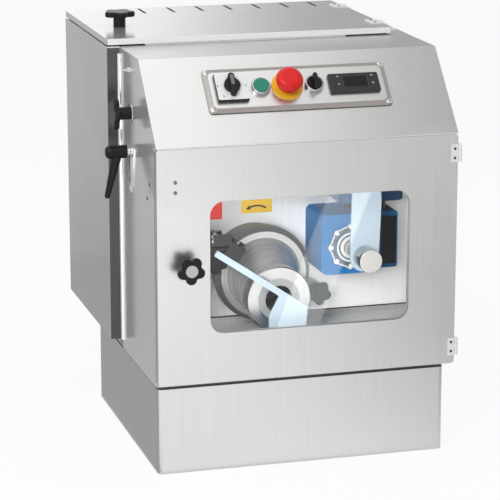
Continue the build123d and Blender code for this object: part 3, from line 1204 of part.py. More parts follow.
def all_parts():
    """Every piece by name."""
    parts = {
        "base_skirt": base_skirt(), "floor_plate": floor_plate(), "chute_slide": chute_slide(),
        "partition": partition(), "front_hood": front_hood(), "control_tray": control_tray(),
        "body_shell": body_shell(), "top_deck": top_deck(), "hopper": hopper(),
        "rear_cover": rear_cover(), "auger_barrel": auger_barrel(), "outlet_cone": outlet_cone(),
        "nozzle_ring": nozzle_ring(), "nozzle_insert": nozzle_insert(), "auger_screw": auger_screw(),
        "knife_gearbox": knife_gearbox(), "gearbox_cover": gearbox_cover(), "knife_motor": knife_motor(),
        "knife_shaft": knife_shaft(), "knife_blade": knife_blade(), "knife_cap": knife_cap(),
        "drive_gearbox": drive_gearbox(), "drive_motor": drive_motor(),
        "door_panel": door_panel(), "window_pane": window_pane(), "window_frame": window_frame(),
        "door_hinge_posts": door_hinge_posts(), "door_hinge_leaves": door_hinge_leaves(),
        "door_knob": door_knob(), "door_latch": door_latch(),
        "lid_panel": lid_panel(), "lid_hinge_posts": lid_hinge_posts(),
        "lid_hinge_leaves": lid_hinge_leaves(), "lid_knob": lid_knob(),
        "side_knob": side_knob(), "clamp_lever": clamp_lever(), "lever_stud": lever_stud(),
        "flap_carriage": flap_carriage(), "flap_sensor": flap_sensor(), "sensor_cable": sensor_cable(),
        "flap_plate": flap_plate(), "flap_clamp": flap_clamp(),
        "control_bezel": control_bezel(), "control_plate": control_plate(),
        "cam_switch_body": cam_switch_body(), "switch_handle": switch_handle(),
        "start_bezel": button_bezel(START_U), "start_button": start_button(),
        "stop_collar": stop_collar(), "stop_head": stop_head(),
        "selector_bezel": button_bezel(SELECTOR_U), "selector_knob": selector_knob(),
        "controller_case": controller_case(), "controller_display": controller_display(),
    }
    right, left = cone_knobs()
    parts["cone_knob_right"] = right
    parts["cone_knob_left"] = left
    for number, key in enumerate(controller_keys(), start=1):
        parts[f"controller_key_{number}"] = key
    return parts


os.makedirs("parts", exist_ok=True)
for name, shape in all_parts().items():
    export_step(Pos(SHIFT_X, SHIFT_Y, 0) * shape, f"parts/{name}.step")
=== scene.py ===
from math import pi, radians

import bmesh
import bpy
import numpy as np
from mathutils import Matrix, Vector


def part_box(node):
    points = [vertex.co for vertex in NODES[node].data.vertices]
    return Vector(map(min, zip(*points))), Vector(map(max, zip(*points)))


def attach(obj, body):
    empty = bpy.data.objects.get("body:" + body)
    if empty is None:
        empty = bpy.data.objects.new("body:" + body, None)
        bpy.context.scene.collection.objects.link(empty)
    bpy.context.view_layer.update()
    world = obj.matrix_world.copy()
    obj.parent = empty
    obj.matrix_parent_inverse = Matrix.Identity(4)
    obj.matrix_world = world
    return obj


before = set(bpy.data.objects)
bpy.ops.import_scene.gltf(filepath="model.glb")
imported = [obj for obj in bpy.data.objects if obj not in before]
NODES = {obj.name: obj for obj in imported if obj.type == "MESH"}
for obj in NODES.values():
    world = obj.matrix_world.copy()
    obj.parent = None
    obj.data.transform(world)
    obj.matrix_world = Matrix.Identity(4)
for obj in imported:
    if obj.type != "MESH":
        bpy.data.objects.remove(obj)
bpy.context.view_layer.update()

# Places are written in millimetres: x from the hood's left side, y from the door's face, z from the floor.
CORNER = np.array((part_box("door_panel")[0].x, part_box("door_panel")[0].y, 0.0))
LEFT = (-1, 0, 0)
RIGHT = (1, 0, 0)
FRONT = (0, -1, 0)
UP = (0, 0, 1)

# Housing
HOOD_WIDTH = 486.0
DOOR_LINE = 518.0               # height of the slope's lower edge
SLOPE_RUN = 114.0
SLOPE_RISE = 120.0
SLOPE_RIGHT = np.array((1.0, 0.0, 0.0))
SLOPE_UP = np.array((0.0, SLOPE_RUN, SLOPE_RISE)) / np.hypot(SLOPE_RUN, SLOPE_RISE)
SLOPE_OUT = np.cross(SLOPE_RIGHT, SLOPE_UP)
BODY_FRONT = 245.0
LID_FRONT = 246.0
LID_TOP = 650.0
BASE_TOP = 138.0
BEAD_AT = (1.0, 1.1, DOOR_LINE - 0.25)  # left end of the bead along the hood's lower edge, a pale line painted as that edge's highlight
BEAD_LENGTH = 484.0
BEAD_RADIUS = 0.6
WALL_STUD_AT = (0, 181, 610)
SIDE_KNOB_AT = (0.0, 170.0, 544.0)
COLLAR_RISE = 2.5               # collar round the lever's slot
KNOB_CAP_FOOT = 29.4            # pale cap of the door knob, from the door's face

# Controls: places along and up the slope, tops off it
PANEL_AT = (242.5, 98.0)        # middle of the control panel
PANEL_RIM = 1.6                 # where the border's outer rim, painted dark as shade, ends
PANEL_PLATE_TOP = 5.0
SWITCH_AT = (135.0, 100.5)
SWITCH_SIDE = 49.4
SWITCH_FACE_TOP = PANEL_PLATE_TOP + 7.0
SWITCH_FACE_THICK = 0.5
SWITCH_HANDLE_TOP = SWITCH_FACE_TOP + 9.9
SWITCH_POINTER_LIFT = 6.0       # pointer's middle from the switch's middle
SWITCH_TICKS = ((-22.4, 0.0), (22.4, 0.0), (-16.0, -18.5))
CASE_TOP = PANEL_PLATE_TOP + 5.0
DISPLAY_AT = (335.0, 99.5)
DISPLAY_SIDES = (40.6, 20.1)
KEY_MIDDLE = 102.0              # up the slope, halfway between the upper and the lower keys
KEY_SPREAD = (27.8, 7.0)        # keys from the display's middle and from that height
KEY_TOP = CASE_TOP + 0.8
KEY_MARK_RADIUS = 2.0

# Chamber behind the window
PARTITION_FACE = 216.0
SHADOW_LINE_AT = (243.0, PARTITION_FACE, 187.0)    # painted shadow: dark strip above the chute slide, where the slide's lip meets the partition
SHADOW_LINE_SIDES = (481.0, 2.0)
AUGER_AXIS = (211.5, 273.0)     # x and z of the shafts that run along y
NOZZLE_AXIS = (211.5, 254.0)
KNIFE_AXIS = (351.0, 315.0)
KNIFE_CAP_FRONT = 20.0
COVER_BOSS_FRONT = 120.0        # gearbox cover: its boss, then its lobed plate
COVER_PLATE_FRONT = 124.0
COVER_VALLEY = 33.6             # radius of the plate's rim between the lobes
COVER_LOBE = 37.6               # and at the lobes
COVER_LOBES = 8
COVER_BOLT_CIRCLE = 32.0
WORM_PANEL_AT = (419.0, 133.0, 320.0)
WORM_PANEL_SIDES = (25.0, 80.0)
MOTOR_FLANGE = (386.0, 400.0)   # foot and top of the motor's flange
RED_LABEL_AT = (149.0, PARTITION_FACE, 367.0)
RED_LABEL_SIDES = (24.0, 30.0)
YELLOW_LABEL_AT = (219.5, PARTITION_FACE, 370.0)
YELLOW_LABEL_SIDES = (52.0, 22.0)
LABEL_THICK = 0.4
ARROW_CENTRE = (219.5, 342.0)   # x and z that the arrow bends round
ARROW_RADIUS = 29.0

# Screws: radius and height of each head, and where the heads sit
PANEL_HEAD = (4.8, 2.8)
PANEL_SCREWS = (141.5, 34.0)    # from the panel's middle
PANEL_SCREW_SEAT = 2.6
DOOR_HEAD = (3.0, 1.6)
DOOR_SCREWS = ((29, 0, 466), (29, 0, 450))
DOOR_LEAF_HEAD = (2.2, 0.9)
DOOR_LEAF_SCREWS = (479.5, -1.5)        # x, and y of the leaf's face
DOOR_LEAF_FEET = (158.0, 472.5)
DOOR_LEAF_STEPS = (6.5, 21.5)           # screws from the leaf's foot
LID_LEAF_HEAD = (2.6, 1.0)
LID_LEAF_SCREWS = (447.5, LID_TOP + 1.5)    # x, and z of the leaf's face
LID_LEAF_FRONTS = (290.0, 485.0)
LID_LEAF_STEPS = (9.0, 31.0)            # screws from the leaf's front
COVER_HEAD = (3.2, 3.0)
WALL_SCREWS = ((0, 44.5, 455), (0, 59.7, 430.6))
COLLAR_SCREW = (-COLLAR_RISE, 170, 424)

# Fineness of meshes
ROUND = 48              # steps round a turned piece
HEAD_RINGS = 22         # rings of a screw head
CORNER_STEPS = 9        # points of a rounded corner
LOBE_STEPS = 24         # points of one lobe
ARC_STEPS = 25          # points along the arrow
MERGE = 1e-6            # metres within which points are one
SHARP = radians(35)     # edges that bend more stay sharp


# Meshes

def to_metres(points):
    """Millimetres from the corner as metres of the shared frame."""
    return np.asarray(points, float) / 1000.0 + CORNER


def on_slope(u, v, w):
    """Point of the sloped face: u to the right, v up the slope, w outwards."""
    return np.array((0.0, 0.0, DOOR_LINE)) + u * SLOPE_RIGHT + v * SLOPE_UP + w * SLOPE_OUT


def axes_for(normal):
    """Two directions across a normal: the first level, the second upwards where there is one."""
    normal = np.asarray(normal, float) / np.linalg.norm(normal)
    level = np.cross((0.0, 0.0, 1.0), normal)
    if np.linalg.norm(level) < 1e-6:
        level = np.array((1.0, 0.0, 0.0))
    level = level / np.linalg.norm(level)
    return level, np.cross(normal, level), normal


def grid_faces(rows, columns, wrap):
    """Four-sided faces of a grid of points; wrap joins the last column to the first."""
    steps = columns if wrap else columns - 1
    row, column = np.meshgrid(np.arange(rows - 1), np.arange(steps), indexing="ij")
    right = (column + 1) % columns
    quads = np.stack((row * columns + column, row * columns + right,
                      (row + 1) * columns + right, (row + 1) * columns + column), -1)
    return quads.reshape(-1, 4)


def joined(parts):
    """One list of points and one of faces from several."""
    points, faces, count = [], [], 0
    for part_points, part_faces in parts:
        points.append(part_points)
        faces.extend((np.asarray(face) + count).tolist() for face in part_faces)
        count += len(part_points)
    return np.concatenate(points), faces


def piece(name, points, faces, material, body, slot, smooth=True):
    """Mesh object in metres with merged doubles and outward faces, riding on a body."""
    mesh = bpy.data.meshes.new(name)
    mesh.from_pydata(to_metres(points).tolist(), [], [list(face) for face in faces])
    work = bmesh.new()
    work.from_mesh(mesh)
    bmesh.ops.remove_doubles(work, verts=work.verts, dist=MERGE)
    bmesh.ops.recalc_face_normals(work, faces=work.faces)
    work.to_mesh(mesh)
    work.free()
    mesh.polygons.foreach_set("use_smooth", np.full(len(mesh.polygons), smooth))
    if smooth:
        mesh.set_sharp_from_angle(angle=SHARP)
    mesh.materials.append(material)
    obj = bpy.data.objects.new(name, mesh)
    bpy.context.scene.collection.objects.link(obj)
    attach(obj, body)
    return obj


def turned(radii, heights, centre, normal, sink=None):
    """Profile of radii and heights carried round a normal; sink(x, y) lowers points, such as for a recess."""
    level, up, out = axes_for(normal)
    angle = np.linspace(0, 2 * pi, ROUND, endpoint=False)
    radius = np.asarray(radii, float)[:, None]
    x = radius * np.cos(angle)
    y = radius * np.sin(angle)
    height = np.asarray(heights, float)[:, None] + np.zeros_like(x)
    if sink is not None:
        height = height - sink(x, y) * (height > 0)
    points = np.asarray(centre, float) + x[..., None] * level + y[..., None] * up + height[..., None] * out
    return points.reshape(-1, 3), grid_faces(len(radii), ROUND, True)


def domed_head(radius, height, centre, normal, sink):
    """Screw head: a cap that falls with the square of the radius, then its side and flat foot."""
    fall = 0.45
    across = np.linspace(0, 1, HEAD_RINGS)
    radii = np.concatenate((across * radius, (radius, 0.0)))
    heights = np.concatenate((height * (1 - fall * across ** 2), (0.0, 0.0)))
    return turned(radii, heights, centre, normal, sink)


def cross_recess(radius):
    """Depth of a cross: two bars of a third of the radius wide."""
    bar, reach, deep = radius * 0.17, radius * 0.6, radius * 0.3

    def depth(x, y):
        first = (abs(x) < bar) & (abs(y) < reach)
        second = (abs(y) < bar) & (abs(x) < reach)
        return (first | second) * deep
    return depth


def hex_recess(radius):
    """Depth of a six-sided socket: inside when the largest of three projections is small."""
    reach, deep = radius * 0.48, radius * 0.35

    def depth(x, y):
        sides = [abs(x * np.cos(a) + y * np.sin(a)) for a in (0, pi / 3, 2 * pi / 3)]
        return (np.maximum.reduce(sides) < reach) * deep
    return depth


def screws(name, spots, normal, head, recess, material, body):
    """Row of screw heads on one surface; head is a radius and a height."""
    radius, height = head
    heads = [domed_head(radius, height, spot, normal, recess(radius)) for spot in spots]
    return piece(name, *joined(heads), material, body, "chrome")


def rounded_outline(width, height, corner):
    """Rectangle about its middle with a quarter circle at each corner."""
    turn = np.linspace(0, pi / 2, CORNER_STEPS)
    corners = []
    for index, (sx, sy) in enumerate(((1, 1), (-1, 1), (-1, -1), (1, -1))):
        angle = turn + index * pi / 2
        corners.append(np.stack((sx * (width / 2 - corner) + corner * np.cos(angle),
                                 sy * (height / 2 - corner) + corner * np.sin(angle)), -1))
    return np.concatenate(corners)


def even_outline(sides, radius, start=pi / 2):
    """Even polygon: points on a circle at equal angles from a start angle."""
    angle = start + np.arange(sides) * 2 * pi / sides
    return radius * np.stack((np.cos(angle), np.sin(angle)), -1)


def lobed_outline(inner, outer, lobes):
    """Closed line whose radius swings from inner to outer with the cube of a raised cosine of the angle."""
    angle = np.linspace(0, 2 * pi, LOBE_STEPS * lobes, endpoint=False)
    radius = inner + (outer - inner) * ((1 + np.cos(lobes * angle)) / 2) ** 3
    return radius[:, None] * np.stack((np.cos(angle), np.sin(angle)), -1)


def stacked(outline, rings, centre, normal):
    """Outline carried up a normal: at each ring it is scaled by one factor and lifted by one height."""
    level, up, out = axes_for(normal)
    scales = np.array([scale for scale, _ in rings])[:, None, None]
    lifts = np.array([lift for _, lift in rings])[:, None, None]
    flat = outline[None] * scales
    points = np.asarray(centre, float) + flat[..., :1] * level + flat[..., 1:] * up + lifts * out
    return points.reshape(-1, 3), grid_faces(len(rings), len(outline), True)


def thin_plate(outline, thick, centre, normal, edge=0.3):
    """Closed plate whose upper edge leans in a little."""
    lean = 1 - edge / np.abs(outline).max()
    rings = ((0.0, 0.0), (1.0, 0.0), (1.0, thick - edge), (lean, thick), (0.0, thick))
    return stacked(outline, rings, centre, normal)


def border(outline, share, thick, centre, normal):
    """Flat frame between an outline and the same outline scaled by a share."""
    rings = ((1.0, 0.0), (1.0, thick), (share, thick), (share, 0.0), (1.0, 0.0))
    return stacked(outline, rings, centre, normal)


def bent_arrow(centre, radius, width, start, end, head, lift):
    """Flat arrow round a centre: an arc band between two angles, then a pointed head at its far end."""
    angle = np.linspace(start, end, ARC_STEPS)
    reach = np.array((radius - width / 2, radius + width / 2))[:, None, None]
    band = (reach * np.stack((np.cos(angle), np.sin(angle)), -1)).reshape(-1, 2)
    tangent = np.array((-np.sin(end), np.cos(end)))
    radial = np.array((np.cos(end), np.sin(end)))
    tip = np.stack(((radius - head / 2) * radial, (radius + head / 2) * radial,
                    radius * radial + head * tangent))
    flat = np.concatenate((band, tip))
    count = len(flat)
    faces = grid_faces(2, len(angle), False).tolist() + [[count - 3, count - 2, count - 1]]
    depth = np.full(count, PARTITION_FACE - lift)
    return np.stack((centre[0] + flat[:, 0], depth, centre[1] + flat[:, 1]), -1), faces


# Shader nodes

VECTOR = "NodeSocketVector"
VALUE = "NodeSocketFloat"
EDGE_SOFT = 0.0001      # metres over which one zone of a finish gives way to the next


def new_group(name, inputs, outputs):
    """Empty node group with its sockets, and its input and output nodes."""
    tree = bpy.data.node_groups.new(name, "ShaderNodeTree")
    for label, kind in inputs:
        tree.interface.new_socket(label, in_out="INPUT", socket_type=kind)
    for label, kind in outputs:
        tree.interface.new_socket(label, in_out="OUTPUT", socket_type=kind)
    return tree, tree.nodes.new("NodeGroupInput"), tree.nodes.new("NodeGroupOutput")


def add(tree, kind, links=(), **values):
    """Shader node with its properties, input values and incoming links."""
    node = tree.nodes.new(kind)
    for key, value in values.items():
        if key in node.inputs:
            node.inputs[key].default_value = value
        else:
            setattr(node, key, value)
    for source, target in links:
        tree.links.new(source, node.inputs[target])
    return node


def feed(tree, socket, value):
    """Another node's output linked to a socket, or a plain value set on it."""
    if isinstance(value, bpy.types.NodeSocket):
        tree.links.new(value, socket)
    else:
        socket.default_value = value


def maths(tree, operation, first, second):
    """Result of one operation on two values, each a number or another node's output."""
    node = add(tree, "ShaderNodeMath", operation=operation)
    feed(tree, node.inputs[0], first)
    feed(tree, node.inputs[1], second)
    return node.outputs[0]


def ramp(tree, value, start, end):
    """0 before the start, 1 past the end and even between them."""
    node = add(tree, "ShaderNodeMapRange", [(value, "Value")])
    node.inputs["From Min"].default_value = start
    node.inputs["From Max"].default_value = end
    return node.outputs["Result"]


def blended(tree, mask, first, second):
    """Value between two others, each a number or another node's output."""
    node = add(tree, "ShaderNodeMapRange", [(mask, "Value")])
    feed(tree, node.inputs["To Min"], first)
    feed(tree, node.inputs["To Max"], second)
    return node.outputs["Result"]


def mixed(tree, mask, first, second):
    """Colour between two others, each a colour or another node's output."""
    mix = add(tree, "ShaderNodeMix", data_type="RGBA")
    tree.links.new(mask, mix.inputs["Factor"])
    sockets = [socket for socket in mix.inputs if socket.type == "RGBA"]
    for socket, colour in zip(sockets, (first, second)):
        feed(tree, socket, colour if isinstance(colour, bpy.types.NodeSocket) else (*colour, 1.0))
    return [socket for socket in mix.outputs if socket.type == "RGBA"][0]


def toned(tree, mask, colour, spread):
    """Colour between a darker and a lighter tone of itself."""
    dark = [channel * (1 - spread) for channel in colour]
    light = [min(1.0, channel * (1 + spread)) for channel in colour]
    return mixed(tree, mask, dark, light)


def beyond(tree, place, axis, limit):
    """0 before a place along one axis, in millimetres, and 1 past it."""
    parts = add(tree, "ShaderNodeSeparateXYZ", [(place.outputs["Object"], 0)])
    middle = limit / 1000.0 + CORNER["XYZ".index(axis)]
    return ramp(tree, parts.outputs[axis], middle - EDGE_SOFT, middle + EDGE_SOFT)


def brush_group():
    """Long brush marks: two noises over a stretched vector, added and spread to the full range."""
    tree, head, tail = new_group("brush_marks", [("Vector", VECTOR)], [("Tone", VALUE), ("Height", VALUE)])
    vector = head.outputs["Vector"]
    coarse = add(tree, "ShaderNodeTexNoise", [(vector, "Vector")], Scale=1.0, Detail=3.0, Roughness=0.6)
    fine = add(tree, "ShaderNodeTexNoise", [(vector, "Vector")], Scale=3.7, Detail=2.0, Roughness=0.5)
    total = maths(tree, "ADD", coarse.outputs["Fac"], fine.outputs["Fac"])
    tree.links.new(ramp(tree, total, 0.7, 1.3), tail.inputs["Tone"])
    tree.links.new(fine.outputs["Fac"], tail.inputs["Height"])
    return tree


def smudge_group():
    """Wide soft patches where hands and cloths have been."""
    tree, head, tail = new_group("smudges", [("Vector", VECTOR)], [("Patch", VALUE)])
    noise = add(tree, "ShaderNodeTexNoise", [(head.outputs["Vector"], "Vector")],
                Scale=5.5, Detail=4.0, Roughness=0.55, Distortion=0.8)
    tree.links.new(ramp(tree, noise.outputs["Fac"], 0.42, 0.72), tail.inputs["Patch"])
    return tree


def turning_group():
    """Lathe marks: noise along the distance from an axis that runs along Y."""
    tree, head, tail = new_group("turning_marks", [("Vector", VECTOR), ("Axis X", VALUE), ("Axis Z", VALUE)],
                                 [("Tone", VALUE), ("Height", VALUE)])
    parts = add(tree, "ShaderNodeSeparateXYZ", [(head.outputs["Vector"], 0)])
    across = maths(tree, "SUBTRACT", parts.outputs["X"], head.outputs["Axis X"])
    upward = maths(tree, "SUBTRACT", parts.outputs["Z"], head.outputs["Axis Z"])
    flat = add(tree, "ShaderNodeCombineXYZ", [(across, 0), (upward, 1)])
    reach = add(tree, "ShaderNodeVectorMath", [(flat.outputs[0], 0)], operation="LENGTH")
    along = maths(tree, "MULTIPLY", parts.outputs["Y"], 0.8)
    total = maths(tree, "ADD", reach.outputs["Value"], along)
    noise = add(tree, "ShaderNodeTexNoise", [(total, "W")], noise_dimensions="1D", Scale=900.0, Detail=2.0)
    tree.links.new(noise.outputs["Fac"], tail.inputs["Tone"])
    tree.links.new(noise.outputs["Fac"], tail.inputs["Height"])
    return tree


def grain_group():
    """Fine even grain of moulded or sprayed surfaces."""
    tree, head, tail = new_group("moulded_grain", [("Vector", VECTOR), ("Scale", VALUE)],
                                 [("Tone", VALUE), ("Height", VALUE)])
    vector = head.outputs["Vector"]
    noise = add(tree, "ShaderNodeTexNoise", [(vector, "Vector"), (head.outputs["Scale"], "Scale")],
                Detail=2.0, Roughness=0.5)
    broad = add(tree, "ShaderNodeTexNoise", [(vector, "Vector")], Scale=22.0, Detail=3.0)
    tree.links.new(broad.outputs["Fac"], tail.inputs["Tone"])
    tree.links.new(noise.outputs["Fac"], tail.inputs["Height"])
    return tree


BRUSH = brush_group()
SMUDGES = smudge_group()
TURNING = turning_group()
GRAIN = grain_group()


# Kinds of finish

def new_material(name, **values):
    """Material with values set on its surface, and its node tree and surface."""
    material = bpy.data.materials.new(name)
    material.use_nodes = True
    surface = material.node_tree.nodes["Principled BSDF"]
    for key, value in values.items():
        surface.inputs[key.replace("_", " ")].default_value = value
    return material, material.node_tree, surface


def use_group(tree, group, vector, **values):
    """Node group over a vector, with its other inputs."""
    node = add(tree, "ShaderNodeGroup", node_tree=group)
    tree.links.new(vector, node.inputs["Vector"])
    for key, value in values.items():
        node.inputs[key.replace("_", " ")].default_value = value
    return node


def vary_roughness(tree, surface, mask, low, high):
    """Roughness that follows a mask."""
    tree.links.new(blended(tree, mask, low, high), surface.inputs["Roughness"])


def raise_bump(tree, surface, height, strength, distance):
    """Fine relief in the surface's normal."""
    bump = add(tree, "ShaderNodeBump", [(height, "Height")], Strength=strength, Distance=distance)
    tree.links.new(bump.outputs["Normal"], surface.inputs["Normal"])


def brushed(tree, place, streak):
    """Brush marks that run where the streak scale is small."""
    stretch = add(tree, "ShaderNodeMapping", [(place.outputs["Object"], "Vector")], Scale=streak)
    return use_group(tree, BRUSH, stretch.outputs["Vector"])


def sheet_steel(name, colour, rough, streak, spread=0.06, metallic=1.0, zones=()):
    """Brushed sheet with wide smudges in its gloss. Each zone is an axis, two places along it in millimetres,
    and the colour, roughness and metal between them."""
    material, tree, surface = new_material(name)
    place = add(tree, "ShaderNodeTexCoord")
    marks = brushed(tree, place, streak)
    patch = use_group(tree, SMUDGES, place.outputs["Object"])
    both = maths(tree, "ADD", marks.outputs["Tone"], patch.outputs["Patch"])
    shade = toned(tree, marks.outputs["Tone"], colour, spread)
    gloss = blended(tree, maths(tree, "MULTIPLY", both, 0.5), rough - 0.06, rough + 0.07)
    metal = metallic
    for axis, low, high, zone_colour, zone_rough, zone_metal in zones:
        inside = maths(tree, "SUBTRACT", beyond(tree, place, axis, low), beyond(tree, place, axis, high))
        shade = mixed(tree, inside, shade, toned(tree, marks.outputs["Tone"], zone_colour, spread))
        gloss = blended(tree, inside, gloss, zone_rough)
        metal = blended(tree, inside, metal, zone_metal)
    tree.links.new(shade, surface.inputs["Base Color"])
    tree.links.new(gloss, surface.inputs["Roughness"])
    feed(tree, surface.inputs["Metallic"], metal)
    raise_bump(tree, surface, marks.outputs["Height"], 0.04, 0.0004)
    return material


def turned_steel(name, colour, rough, axis, spread=0.08, metallic=1.0, face=None):
    """Metal from the lathe, with marks round an axis along Y; face is where a paler front ends and its
    colour."""
    material, tree, surface = new_material(name, Metallic=metallic)
    place = add(tree, "ShaderNodeTexCoord")
    marks = use_group(tree, TURNING, place.outputs["Object"],
                      Axis_X=axis[0] / 1000.0 + CORNER[0], Axis_Z=axis[1] / 1000.0)
    shade = toned(tree, marks.outputs["Tone"], colour, spread)
    if face is not None:
        end, pale = face
        shade = mixed(tree, beyond(tree, place, "Y", end), pale, shade)
    tree.links.new(shade, surface.inputs["Base Color"])
    vary_roughness(tree, surface, marks.outputs["Tone"], rough - 0.06, rough + 0.08)
    raise_bump(tree, surface, marks.outputs["Height"], 0.04, 0.0003)
    return material


def moulded(name, colour, rough, grain=1500.0, bump=0.15, spread=0.08, bands=(), **values):
    """Plastic, paint or rubber with an even fine grain; each band is an axis, a place along it in millimetres
    and the colour past that place."""
    material, tree, surface = new_material(name, **values)
    place = add(tree, "ShaderNodeTexCoord")
    marks = use_group(tree, GRAIN, place.outputs["Object"], Scale=grain)
    shade = toned(tree, marks.outputs["Tone"], colour, spread)
    for axis, limit, past in bands:
        shade = mixed(tree, beyond(tree, place, axis, limit), shade, past)
    tree.links.new(shade, surface.inputs["Base Color"])
    vary_roughness(tree, surface, marks.outputs["Tone"], rough - 0.05, rough + 0.07)
    raise_bump(tree, surface, marks.outputs["Height"], bump, 0.0002)
    return material


def polished(name, colour, rough):
    """Bare metal with little grain."""
    return moulded(name, colour, rough, grain=400.0, bump=0.02, spread=0.03, Metallic=1.0)


def shaded_moulding_steel(name, bright, dark, rough, foot, top):
    """Raised moulding on the slope with painted shade: a mix from a dark painted shade at its foot to bright
    on top over the height.
    """
    material, tree, surface = new_material(name, Metallic=1.0)
    place = add(tree, "ShaderNodeTexCoord")
    off = add(tree, "ShaderNodeVectorMath", [(place.outputs["Object"], 0)], operation="SUBTRACT")
    off.inputs[1].default_value = to_metres(on_slope(0.0, 0.0, 0.0))
    height = add(tree, "ShaderNodeVectorMath", [(off.outputs["Vector"], 0)], operation="DOT_PRODUCT")
    height.inputs[1].default_value = SLOPE_OUT
    rise = ramp(tree, height.outputs["Value"], foot / 1000.0, top / 1000.0)
    marks = brushed(tree, place, CROSSWAYS)
    light = toned(tree, marks.outputs["Tone"], bright, 0.05)
    tree.links.new(mixed(tree, rise, dark, light), surface.inputs["Base Color"])
    vary_roughness(tree, surface, marks.outputs["Tone"], rough - 0.04, rough + 0.06)
    raise_bump(tree, surface, marks.outputs["Height"], 0.03, 0.0003)
    return material


def clear_sheet(name):
    """Window pane: a thin mirror layer whose cover grows with the fifth power of how far the view leans."""
    material, tree, surface = new_material(name, Base_Color=(0.93, 0.97, 1.0, 1.0), Metallic=1.0,
                                           Roughness=0.02)
    lean = add(tree, "ShaderNodeLayerWeight", Blend=0.5)
    growth = maths(tree, "POWER", lean.outputs["Facing"], 5.0)
    tree.links.new(blended(tree, growth, 0.0142, 0.6), surface.inputs["Alpha"])
    return material


# Finishes: colour, roughness, then the brush direction or the lathe's axis

UPRIGHT = (430.0, 430.0, 4.0)       # brush marks along z, y or x
LENGTHWAYS = (430.0, 4.0, 430.0)
CROSSWAYS = (4.0, 430.0, 430.0)
STEEL = (0.60, 0.60, 0.595)
WALL = (0.59, 0.59, 0.585)          # polished side walls
HIGHLIGHT_TRIM = (0.88, 0.88, 0.87)           # painted highlight: paler colour on the hood's rolled edges and the slot's collar, and on the lid's front hem
PAINTED_SHADE = (0.10, 0.10, 0.10)          # painted shade on narrow faces: the base's top in the door gap and the body's front step
BLACK = (0.005, 0.005, 0.0055)
FAR = 2000.0                        # past every end of the part
SKIN = 0.3                          # depth of a zone that holds one face only

# Past the side walls, the hood's rolled edges and the slot's collar get the painted highlight colour.
HOOD_ZONES = (("X", -FAR, SKIN, WALL, 0.16, 0.55), ("X", HOOD_WIDTH - SKIN, FAR, WALL, 0.16, 0.55),
              ("X", -FAR, -SKIN, HIGHLIGHT_TRIM, 0.1, 0.8), ("X", HOOD_WIDTH + SKIN, FAR, HIGHLIGHT_TRIM, 0.1, 0.8))
# Painted shade: the base's top face under the door and the body's front step are coloured dark.
BASE_ZONES = (("Z", BASE_TOP - SKIN, FAR, PAINTED_SHADE, 0.5, 0.8),)
BODY_ZONES = (("Y", -FAR, BODY_FRONT + SKIN, PAINTED_SHADE, 0.3, 0.8),)
# Painted highlight: the lid's front hem is coloured pale.
LID_ZONES = (("Y", BODY_FRONT, LID_FRONT + SKIN, HIGHLIGHT_TRIM, 0.3, 0.2),)
MOTOR_BANDS = (("Z", MOTOR_FLANGE[0], (0.006, 0.075, 0.19)), ("Z", MOTOR_FLANGE[1], (0.008, 0.12, 0.40)))
KNOB_BANDS = (("Y", -KNOB_CAP_FOOT - 0.4, BLACK),)
KNIFE_FACE = (KNIFE_CAP_FRONT + 0.8, (0.86, 0.84, 0.81))

front_steel = sheet_steel("front_steel", STEEL, 0.34, UPRIGHT, spread=0.04)
base_steel = sheet_steel("base_steel", STEEL, 0.34, UPRIGHT, spread=0.04, zones=BASE_ZONES)
hood_steel = sheet_steel("hood_steel", STEEL, 0.34, UPRIGHT, spread=0.04, zones=HOOD_ZONES)
body_steel = sheet_steel("body_steel", STEEL, 0.24, UPRIGHT, zones=BODY_ZONES)
lid_steel = sheet_steel("lid_steel", (0.50, 0.50, 0.495), 0.17, LENGTHWAYS, spread=0.03, metallic=0.6,
                        zones=LID_ZONES)
inner_steel = sheet_steel("inner_steel", (0.78, 0.78, 0.77), 0.45, UPRIGHT, spread=0.05, metallic=0.35)
floor_steel = sheet_steel("floor_steel", (0.60, 0.60, 0.59), 0.4, UPRIGHT, spread=0.12, metallic=0.4)
plate_steel = sheet_steel("plate_steel", (0.62, 0.62, 0.61), 0.34, CROSSWAYS, spread=0.04)
# Painted shade: the border is dark below the rim's height and bright above it.
frame_steel = shaded_moulding_steel("frame_steel", (0.34, 0.315, 0.30), (0.06, 0.055, 0.05), 0.26,
                             foot=PANEL_RIM - SKIN, top=PANEL_RIM + SKIN)
# Pale steel: the hinges and the shaft's collar, and a painted highlight on the window frame and the hood's
# bead.
hinge_steel = sheet_steel("hinge_steel", (0.84, 0.84, 0.83), 0.4, UPRIGHT, spread=0.03, metallic=0.35)
# Near-white steel: the cover's bolts, and the painted highlight on the cover's rims.
bolt_steel_and_rim_highlight = sheet_steel("bolt_steel_and_rim_highlight", (0.95, 0.95, 0.94), 0.4, UPRIGHT, spread=0.03, metallic=0.1)
blade_steel = sheet_steel("blade_steel", (0.50, 0.61, 0.69), 0.32, UPRIGHT, spread=0.03, metallic=0.3)
cone_steel = turned_steel("cone_steel", (0.66, 0.66, 0.65), 0.24, AUGER_AXIS, metallic=0.62)
